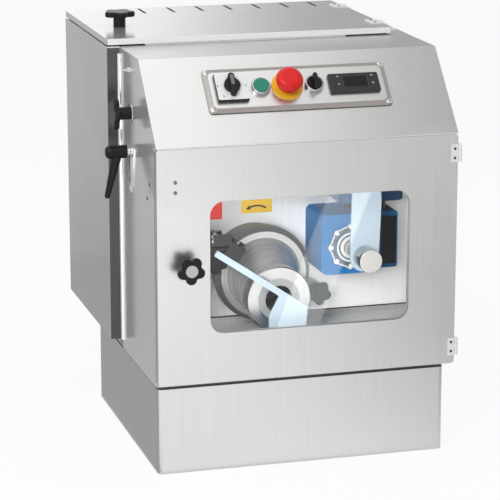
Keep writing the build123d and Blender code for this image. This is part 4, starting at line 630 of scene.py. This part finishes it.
# Dark cast steel; the darkness of its flange round the cone's flange is partly painted shade for the gap
# between the two flanges.
barrel_steel = turned_steel("barrel_steel", (0.14, 0.14, 0.14), 0.3, AUGER_AXIS, metallic=0.6)
nozzle_steel = turned_steel("nozzle_steel", (0.78, 0.78, 0.78), 0.26, NOZZLE_AXIS)
auger_steel = turned_steel("auger_steel", (0.58, 0.58, 0.57), 0.28, AUGER_AXIS)
knife_steel = turned_steel("knife_steel", (0.45, 0.44, 0.43), 0.2, KNIFE_AXIS, face=KNIFE_FACE)
cover_metal = turned_steel("cover_metal", (0.13, 0.18, 0.24), 0.34, KNIFE_AXIS, metallic=0.5)
bright_metal = polished("bright_metal", (0.62, 0.62, 0.63), 0.12)
bezel_chrome = polished("bezel_chrome", (0.40, 0.40, 0.41), 0.14)
screw_steel = polished("screw_steel", (0.22, 0.22, 0.22), 0.15)
cast_metal = moulded("cast_metal", (0.05, 0.05, 0.053), 0.3, grain=700.0, bump=0.25, Metallic=0.9)
# Dark metal for the leaf screws, and the painted shadow line above the chute slide.
dark_metal_and_shadow = moulded("dark_metal_and_shadow", (0.10, 0.10, 0.10), 0.35, grain=700.0, bump=0.1, Metallic=0.8)
blue_paint = moulded("blue_paint", (0.005, 0.165, 0.43), 0.4, grain=600.0, bump=0.12, Specular_IOR_Level=0.08)
motor_paint = moulded("motor_paint", (0.01, 0.01, 0.012), 0.35, grain=600.0, bump=0.12, bands=MOTOR_BANDS,
                      Coat_Weight=0.2)
black_plastic = moulded("black_plastic", BLACK, 0.34, Specular_IOR_Level=0.24)
knob_plastic = moulded("knob_plastic", (0.55, 0.55, 0.55), 0.34, spread=0.04, bands=KNOB_BANDS,
                       Specular_IOR_Level=0.24)
case_plastic = moulded("case_plastic", (0.022, 0.022, 0.024), 0.42, Specular_IOR_Level=0.35)
white_plastic = moulded("white_plastic", (0.80, 0.80, 0.79), 0.35, bump=0.05, spread=0.02)
stop_red = moulded("stop_red", (0.66, 0.008, 0.008), 0.34, grain=300.0, bump=0.03, Specular_IOR_Level=0.35)
stop_yellow = moulded("stop_yellow", (0.86, 0.50, 0.03), 0.4, bump=0.05)
start_green = moulded("start_green", (0.004, 0.20, 0.12), 0.4, grain=300.0, bump=0.03)
display_dark = moulded("display_dark", (0.004, 0.004, 0.005), 0.2, grain=200.0, bump=0.01,
                       Specular_IOR_Level=0.3)
key_grey = moulded("key_grey", (0.05, 0.05, 0.053), 0.4)
mark_pale = moulded("mark_pale", (0.36, 0.36, 0.37), 0.5, bump=0.02, spread=0.04)
grip_grey = moulded("grip_grey", (0.15, 0.15, 0.15), 0.35, bump=0.05)
cable_rubber = moulded("cable_rubber", (0.010, 0.010, 0.010), 0.5, grain=900.0)
label_red = moulded("label_red", (0.84, 0.05, 0.035), 0.5, bump=0.03, spread=0.04)
label_yellow = moulded("label_yellow", (0.90, 0.58, 0.06), 0.5, bump=0.03, spread=0.04)
ink_black = moulded("ink_black", (0.03, 0.025, 0.02), 0.6, bump=0.03)
pane_clear = clear_sheet("pane_clear")

FINISH_OF = {
    front_steel: ("rear_cover", "door_panel"),
    base_steel: ("base_skirt",),
    hood_steel: ("front_hood",),
    body_steel: ("body_shell",),
    lid_steel: ("lid_panel", "top_deck"),
    inner_steel: ("partition", "control_tray", "hopper"),
    floor_steel: ("floor_plate", "chute_slide"),
    plate_steel: ("control_plate",),
    frame_steel: ("control_bezel",),
    hinge_steel: ("door_hinge_posts", "door_hinge_leaves", "lid_hinge_posts", "lid_hinge_leaves",
                  "window_frame"),
    blade_steel: ("knife_blade", "flap_plate"),
    cone_steel: ("outlet_cone",),
    barrel_steel: ("auger_barrel",),
    nozzle_steel: ("nozzle_ring",),
    auger_steel: ("auger_screw",),
    knife_steel: ("knife_cap", "knife_shaft"),
    cover_metal: ("gearbox_cover",),
    cast_metal: ("flap_carriage", "flap_clamp"),
    bezel_chrome: ("start_bezel", "selector_bezel"),
    bright_metal: ("lever_stud", "flap_sensor", "door_latch"),
    blue_paint: ("knife_gearbox", "drive_gearbox", "drive_motor"),
    motor_paint: ("knife_motor",),
    knob_plastic: ("door_knob",),
    black_plastic: ("lid_knob", "side_knob", "clamp_lever", "cone_knob_right", "cone_knob_left",
                    "switch_handle", "selector_knob", "cam_switch_body"),
    case_plastic: ("controller_case",),
    white_plastic: ("nozzle_insert",),
    stop_red: ("stop_head",),
    stop_yellow: ("stop_collar",),
    start_green: ("start_button",),
    display_dark: ("controller_display",),
    key_grey: ("controller_key_1", "controller_key_2", "controller_key_3", "controller_key_4"),
    cable_rubber: ("sensor_cable",),
    pane_clear: ("window_pane",),
}
for finish, node_names in FINISH_OF.items():
    for node_name in node_names:
        for material_slot in NODES[node_name].material_slots:
            material_slot.material = finish


# Screws and bolts

panel_spots = [on_slope(PANEL_AT[0] + side * PANEL_SCREWS[0], PANEL_AT[1] + row * PANEL_SCREWS[1],
                        PANEL_SCREW_SEAT) for side in (-1, 1) for row in (-1, 1)]
screws("panel_screws", panel_spots, SLOPE_OUT, PANEL_HEAD, cross_recess, bright_metal, "frame")
screws("door_screws", DOOR_SCREWS, FRONT, DOOR_HEAD, hex_recess, screw_steel, "door")
door_leaf_spots = [(*DOOR_LEAF_SCREWS, foot + step) for foot in DOOR_LEAF_FEET for step in DOOR_LEAF_STEPS]
screws("door_leaf_screws", door_leaf_spots, FRONT, DOOR_LEAF_HEAD, cross_recess, dark_metal_and_shadow, "door")
lid_leaf_spots = [(LID_LEAF_SCREWS[0], front + step, LID_LEAF_SCREWS[1])
                  for front in LID_LEAF_FRONTS for step in LID_LEAF_STEPS]
screws("lid_leaf_screws", lid_leaf_spots, UP, LID_LEAF_HEAD, cross_recess, dark_metal_and_shadow, "lid")
cover_spots = [(KNIFE_AXIS[0] + COVER_BOLT_CIRCLE * np.cos(a), COVER_PLATE_FRONT,
                KNIFE_AXIS[1] + COVER_BOLT_CIRCLE * np.sin(a))
               for a in np.arange(COVER_LOBES) * 2 * pi / COVER_LOBES]
screws("cover_bolts", cover_spots, FRONT, COVER_HEAD, hex_recess, bolt_steel_and_rim_highlight, "frame")
screws("wall_screws", WALL_SCREWS, LEFT, DOOR_HEAD, hex_recess, screw_steel, "frame")
screws("collar_screw", [COLLAR_SCREW], LEFT, DOOR_HEAD, hex_recess, bright_metal, "frame")

stud_nut = stacked(even_outline(6, 4.4), ((0.0, 0.0), (1.0, 0.0), (1.0, 3.0), (0.85, 3.6), (0.0, 3.6)),
                   WALL_STUD_AT, LEFT)
stud_end = turned((0.0, 2.2, 2.2, 1.6, 0.0), (3.0, 3.0, 8.0, 8.7, 9.0), WALL_STUD_AT, LEFT)
piece("wall_stud", *joined((stud_nut, stud_end)), bright_metal, "frame", "chrome")


# Washer, painted highlight bead and painted shadow line

washer = turned((10.4, 16.4, 16.8, 16.4, 10.4, 10.4), (0.0, 0.0, 0.6, 1.2, 1.2, 0.0), SIDE_KNOB_AT, LEFT)
piece("side_knob_washer", *washer, bright_metal, "frame", "chrome")
# Painted shadow: a thin dark strip on the partition above the slide's lip.
slide_shadow_line = thin_plate(rounded_outline(*SHADOW_LINE_SIDES, 0.4), 0.3, SHADOW_LINE_AT, FRONT, edge=0.05)
piece("slide_shadow_line", *slide_shadow_line, dark_metal_and_shadow, "frame", "black_plastic")
# Painted highlight: a thin pale rod along the hood's lower edge, where the seam above the door catches the
# light.
hood_highlight_bead = turned((0.0, BEAD_RADIUS, BEAD_RADIUS, 0.0), (0.0, 0.0, BEAD_LENGTH, BEAD_LENGTH), BEAD_AT, RIGHT)
piece("hood_highlight_bead", *hood_highlight_bead, hinge_steel, "frame", "chrome")


# Marks on the controls

switch_face = thin_plate(rounded_outline(SWITCH_SIDE, SWITCH_SIDE, 2.4), SWITCH_FACE_THICK,
                         on_slope(*SWITCH_AT, SWITCH_FACE_TOP), SLOPE_OUT)
piece("switch_face", *switch_face, white_plastic, "frame", "white_plastic")
pointer = thin_plate(rounded_outline(5.2, 18.0, 1.6), 0.3,
                     on_slope(SWITCH_AT[0], SWITCH_AT[1] + SWITCH_POINTER_LIFT, SWITCH_HANDLE_TOP),
                     SLOPE_OUT, edge=0.1)
piece("switch_pointer", *pointer, grip_grey, "main_switch", "key_grey")
ticks = [thin_plate(rounded_outline(1.2, 4.0, 0.4), 0.2,
                    on_slope(SWITCH_AT[0] + u, SWITCH_AT[1] + v, SWITCH_FACE_TOP + SWITCH_FACE_THICK),
                    SLOPE_OUT, edge=0.05) for u, v in SWITCH_TICKS]
piece("switch_ticks", *joined(ticks), ink_black, "frame", "black_plastic")

display_edge = border(rounded_outline(*DISPLAY_SIDES, 0.6), 0.965, 0.25, on_slope(*DISPLAY_AT, CASE_TOP),
                      SLOPE_OUT)
piece("display_edge", *display_edge, key_grey, "frame", "key_grey")
key_spots = [(side, row) for side in (-1, 1) for row in (1, -1)]
for number, (side, row) in enumerate(key_spots, start=1):
    spot = on_slope(DISPLAY_AT[0] + side * KEY_SPREAD[0], KEY_MIDDLE + row * KEY_SPREAD[1], KEY_TOP)
    shape = even_outline(3 if side < 0 else 4, KEY_MARK_RADIUS, row * pi / 2)
    mark = thin_plate(shape, 0.15, spot, SLOPE_OUT, edge=0.05)
    piece(f"key_mark_{number}", *mark, mark_pale, f"key_{number}", "key_grey")


# Trim, painted highlight rims and plates in the chamber

plate_middle = (KNIFE_AXIS[0], COVER_PLATE_FRONT, KNIFE_AXIS[1])
boss_middle = (KNIFE_AXIS[0], COVER_BOSS_FRONT, KNIFE_AXIS[1])
# Painted highlight: thin near-white rims along the cover plate's lobed edge and the boss's edge.
plate_rim_highlight = border(lobed_outline(COVER_VALLEY, COVER_LOBE, COVER_LOBES), 0.95, 0.5, plate_middle, FRONT)
boss_rim_highlight = turned((21.8, 21.8, 22.4, 23.8, 24.4, 24.4, 21.8), (0.0, 0.3, 0.6, 0.6, 0.3, 0.0, 0.0),
                  boss_middle, FRONT)
piece("cover_rim_highlights", *joined((plate_rim_highlight, boss_rim_highlight)), bolt_steel_and_rim_highlight, "frame", "chrome")
collar = turned((13.2, 13.2, 14.0, 17.4, 18.2, 18.2, 13.2), (0.0, 1.2, 1.6, 1.6, 1.2, 0.0, 0.0),
                boss_middle, FRONT)
piece("shaft_collar", *collar, hinge_steel, "frame", "chrome")
worm_panel = thin_plate(rounded_outline(*WORM_PANEL_SIDES, 2.5), 1.2, WORM_PANEL_AT, FRONT)
piece("worm_panel", *worm_panel, black_plastic, "frame", "black_plastic")

red_label = thin_plate(rounded_outline(*RED_LABEL_SIDES, 1.0), LABEL_THICK, RED_LABEL_AT, FRONT, edge=0.1)
piece("red_label", *red_label, label_red, "frame", "stop_red")
yellow_label = thin_plate(rounded_outline(*YELLOW_LABEL_SIDES, 1.0), LABEL_THICK, YELLOW_LABEL_AT, FRONT,
                          edge=0.1)
piece("yellow_label", *yellow_label, label_yellow, "frame", "stop_yellow")
arrow = bent_arrow(ARROW_CENTRE, ARROW_RADIUS, width=2.8, start=radians(57), end=radians(114), head=7.5,
                   lift=LABEL_THICK + 0.05)
piece("turn_arrow", *arrow, ink_black, "frame", "black_plastic", smooth=False)


# Stage, light and camera

CHAMBER_PIECES = ("auger_barrel", "outlet_cone", "cone_knob_left", "cone_knob_right", "knife_gearbox",
                  "knife_motor", "gearbox_cover", "knife_blade", "flap_plate", "flap_carriage", "flap_clamp",
                  "flap_sensor", "sensor_cable", "worm_panel", "cover_bolts", "cover_rim_highlights", "shaft_collar",
                  "red_label", "yellow_label", "turn_arrow", "chute_slide", "floor_plate")
CHAMBER_FRONT = ("nozzle_ring", "nozzle_insert", "knife_shaft", "knife_cap")
CHAMBER_WALL = ("partition",)
DOOR_SHEETS = ("door_panel", "window_frame")
FLOOR_HALF = 9.0                    # metres, as in all of the stage but its cards
SHADE_INSET = 0.006                 # shaded patch of floor, inside the base skirt
SHADE_LIFT = 0.0005
CHAMBER_LAMP_SIZE = (0.4, 0.4)
STRIP_AT = (450.6, 184.7)           # x and z of the strip that the pane mirrors
STRIP_AWAY = 560.0
STRIP_SIZE = (0.0755, 0.36)
CARD_STEPS = (41, 21)               # points across and up a card
CAMERA_AT = (-801.0, -3343.0, 1224.0)
CAMERA_DOWN = 14.07                 # degrees below level
CAMERA_ASIDE = -15.83               # degrees about Z
CAMERA_LENS = 167.6


def seen_ray(tree):
    """1 for rays that look at the background directly, in a reflection or through the pane."""
    rays = add(tree, "ShaderNodeLightPath")
    first = maths(tree, "MAXIMUM", rays.outputs["Is Camera Ray"], rays.outputs["Is Glossy Ray"])
    return maths(tree, "MAXIMUM", first, rays.outputs["Is Transmission Ray"])


def pale_world(ambient):
    """White background that gives less light than it shows."""
    world = bpy.data.worlds.new("studio")
    bpy.context.scene.world = world
    world.use_nodes = True
    tree = world.node_tree
    background = tree.nodes["Background"]
    background.inputs["Color"].default_value = (1.0, 1.0, 1.0, 1.0)
    tree.links.new(blended(tree, seen_ray(tree), ambient, 1.0), background.inputs["Strength"])


def stage_mesh(name, points, faces, material):
    """Object of the studio, with its points in metres."""
    mesh = bpy.data.meshes.new(name)
    mesh.from_pydata(points, [], faces)
    mesh.materials.append(material)
    obj = bpy.data.objects.new(name, mesh)
    bpy.context.scene.collection.objects.link(obj)
    return obj


def level_sheet(name, left, right, front, back, height, material):
    """One level four-sided face."""
    points = [(left, front, height), (right, front, height), (right, back, height), (left, back, height)]
    return stage_mesh(name, points, [(0, 1, 2, 3)], material)


def pale_floor():
    """Wide floor, nearly white to the eye, that still holds the shadow."""
    material, tree, surface = new_material("floor_white", Base_Color=(0.9, 0.9, 0.9, 1.0), Roughness=0.9)
    glow = add(tree, "ShaderNodeEmission", Strength=1.0)
    share = maths(tree, "MULTIPLY", seen_ray(tree), 0.9)
    mix = add(tree, "ShaderNodeMixShader", [(share, 0), (surface.outputs[0], 1), (glow.outputs[0], 2)])
    tree.links.new(mix.outputs[0], tree.nodes["Material Output"].inputs["Surface"])
    floor = level_sheet("floor", -FLOOR_HALF, FLOOR_HALF, -FLOOR_HALF, FLOOR_HALF, 0.0, material)


def shaded_floor():
    """Patch of floor inside the base, in its full shade."""
    material = new_material("floor_shade", Base_Color=(0.7, 0.7, 0.7, 1.0), Roughness=0.9)[0]
    low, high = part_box("base_skirt")
    patch = level_sheet("shaded_floor", low.x + SHADE_INSET, high.x - SHADE_INSET, low.y + SHADE_INSET,
                        high.y - SHADE_INSET, SHADE_LIFT, material)


def soft_lamp(name, place, aim, size, watts, seen_in_gloss=True):
    """Rectangular lamp at a place, turned to an aim, in metres."""
    light = bpy.data.lights.new(name, "AREA")
    light.shape = "RECTANGLE"
    light.size, light.size_y = size
    light.energy = watts
    lamp = bpy.data.objects.new(name, light)
    lamp.location = place
    lamp.rotation_euler = (Vector(aim) - Vector(place)).to_track_quat("-Z", "Y").to_euler()
    lamp.visible_camera = False
    lamp.visible_glossy = seen_in_gloss
    bpy.context.scene.collection.objects.link(lamp)
    return lamp


def collection_of(name, names):
    """Collection of CAD nodes and pieces that a lamp is kept to."""
    kept = bpy.data.collections.new(name)
    for label in names:
        kept.objects.link(bpy.data.objects[label] if label in bpy.data.objects else NODES[label])
    return kept


def chamber_lamps(fill, wash):
    """Two lamps that light only what stands behind the window: a fill on pieces and a wash on the wall."""
    everything = CHAMBER_PIECES + CHAMBER_FRONT + CHAMBER_WALL
    high = soft_lamp("chamber_fill", place=to_metres((-300.0, -900.0, 640.0)),
                     aim=to_metres((260.0, PARTITION_FACE, 260.0)), size=CHAMBER_LAMP_SIZE, watts=fill,
                     seen_in_gloss=False)
    high.light_linking.receiver_collection = collection_of("chamber_pieces", CHAMBER_PIECES)
    high.light_linking.blocker_collection = collection_of("chamber", everything)
    low = soft_lamp("chamber_wash", place=to_metres((-60.0, -900.0, 560.0)),
                    aim=to_metres((360.0, PARTITION_FACE, 250.0)), size=CHAMBER_LAMP_SIZE, watts=wash,
                    seen_in_gloss=False)
    low.data.spread = radians(30.0)
    low.light_linking.receiver_collection = collection_of("chamber_walls", CHAMBER_WALL)
    low.light_linking.blocker_collection = collection_of("chamber_and_door", everything + DOOR_SHEETS)


def pane_strip(watts):
    """Slanting strip of light in front of the door that only the window pane mirrors."""
    x, z = STRIP_AT
    lamp = soft_lamp("pane_strip", place=to_metres((x, -STRIP_AWAY, z)), aim=to_metres((x, 0.0, z)),
                     size=STRIP_SIZE, watts=watts)
    lamp.rotation_euler.rotate_axis("Z", radians(-21.9))
    lamp.light_linking.receiver_collection = collection_of("pane_alone", ("window_pane",))


def soft_step(value, start, end):
    """0 before the start and 1 past the end, with an S-shaped rise between them."""
    share = np.clip((value - start) / (end - start), 0, 1)
    return share * share * (3 - 2 * share)


def graded_card(name, corner, across, up, glow, turn, fade=0.0, fall=(0.3, 0.85)):
    """Flat card seen only in reflections: its glow goes from one value to another between two shares of its
    width, and falls by the fade between two shares of the way up."""
    s, t = np.meshgrid(np.linspace(0, 1, CARD_STEPS[0]), np.linspace(0, 1, CARD_STEPS[1]))
    corner, across, up = (np.asarray(place, float) for place in (corner, across, up))
    points = corner + s[..., None] * across + t[..., None] * up
    material, tree, _ = new_material(name)
    material.cycles.emission_sampling = "NONE"
    level = add(tree, "ShaderNodeAttribute", attribute_name="glow")
    light = add(tree, "ShaderNodeEmission", [(level.outputs["Fac"], "Strength")])
    tree.links.new(light.outputs[0], tree.nodes["Material Output"].inputs["Surface"])
    card = stage_mesh(name, to_metres(points.reshape(-1, 3)).tolist(), grid_faces(*s.shape, False).tolist(),
                      material)
    near, far = glow
    levels = (near + (far - near) * soft_step(s, *turn)) * (1 - fade * soft_step(t, *fall))
    card.data.attributes.new("glow", "FLOAT", "POINT").data.foreach_set("value", levels.ravel())
    card.visible_camera = False
    card.visible_diffuse = False
    card.visible_transmission = False
    card.visible_shadow = False


def photo_camera():
    """Camera level about its own axis, where the photo was taken from."""
    camera = bpy.data.cameras.new("camera")
    camera.lens = CAMERA_LENS
    camera.sensor_width = 36.0
    camera.clip_end = 50.0
    view = bpy.data.objects.new("camera", camera)
    view.location = to_metres(CAMERA_AT)
    view.rotation_euler = (radians(90.0 - CAMERA_DOWN), 0.0, radians(CAMERA_ASIDE))
    bpy.context.scene.collection.objects.link(view)
    bpy.context.scene.camera = view


pale_world(ambient=0.45)
pale_floor()
shaded_floor()
soft_lamp("key_lamp", place=(-1.5, -2.2, 2.0), aim=(0.0, -0.2, 0.35), size=(1.4, 1.4), watts=34.0)
soft_lamp("side_lamp", place=(-2.4, 0.2, 1.4), aim=(0.0, 0.0, 0.35), size=(1.6, 1.6), watts=10.0,
          seen_in_gloss=False)
soft_lamp("top_lamp", place=(0.3, 0.2, 2.6), aim=(0.0, 0.0, 0.5), size=(1.8, 1.8), watts=16.0,
          seen_in_gloss=False)
chamber_lamps(fill=13.0, wash=1.0)
pane_strip(watts=0.56)
graded_card("floor_card", corner=(-1500, -3000, 1), across=(3500, 0, 0), up=(0, 2997, 0),
            glow=(2.3, 0.66), turn=(0.48, 0.74), fade=0.47)
graded_card("top_card", corner=(-1500, -1800, 2000), across=(3500, 0, 0), up=(0, 2600, 0),
            glow=(1.62, 0.53), turn=(0.54, 0.73))
graded_card("back_card", corner=(-1500, 2500, 300), across=(4500, 0, 0), up=(0, 0, 2500),
            glow=(1.38, 0.48), turn=(0.42, 0.58))
graded_card("left_card", corner=(-2500, 1400, 1600), across=(2450, 0, 0), up=(0, 0, -1600),
            glow=(0.32, 0.62), turn=(0.5, 1.0), fade=0.14, fall=(0.78, 1.0))
graded_card("left_floor_card", corner=(-2500, -60, 1), across=(2499, 0, 0), up=(0, 1460, 0),
            glow=(0.34, 0.47), turn=(0.5, 1.0))
photo_camera()
bpy.context.scene.view_settings.view_transform = "Standard"
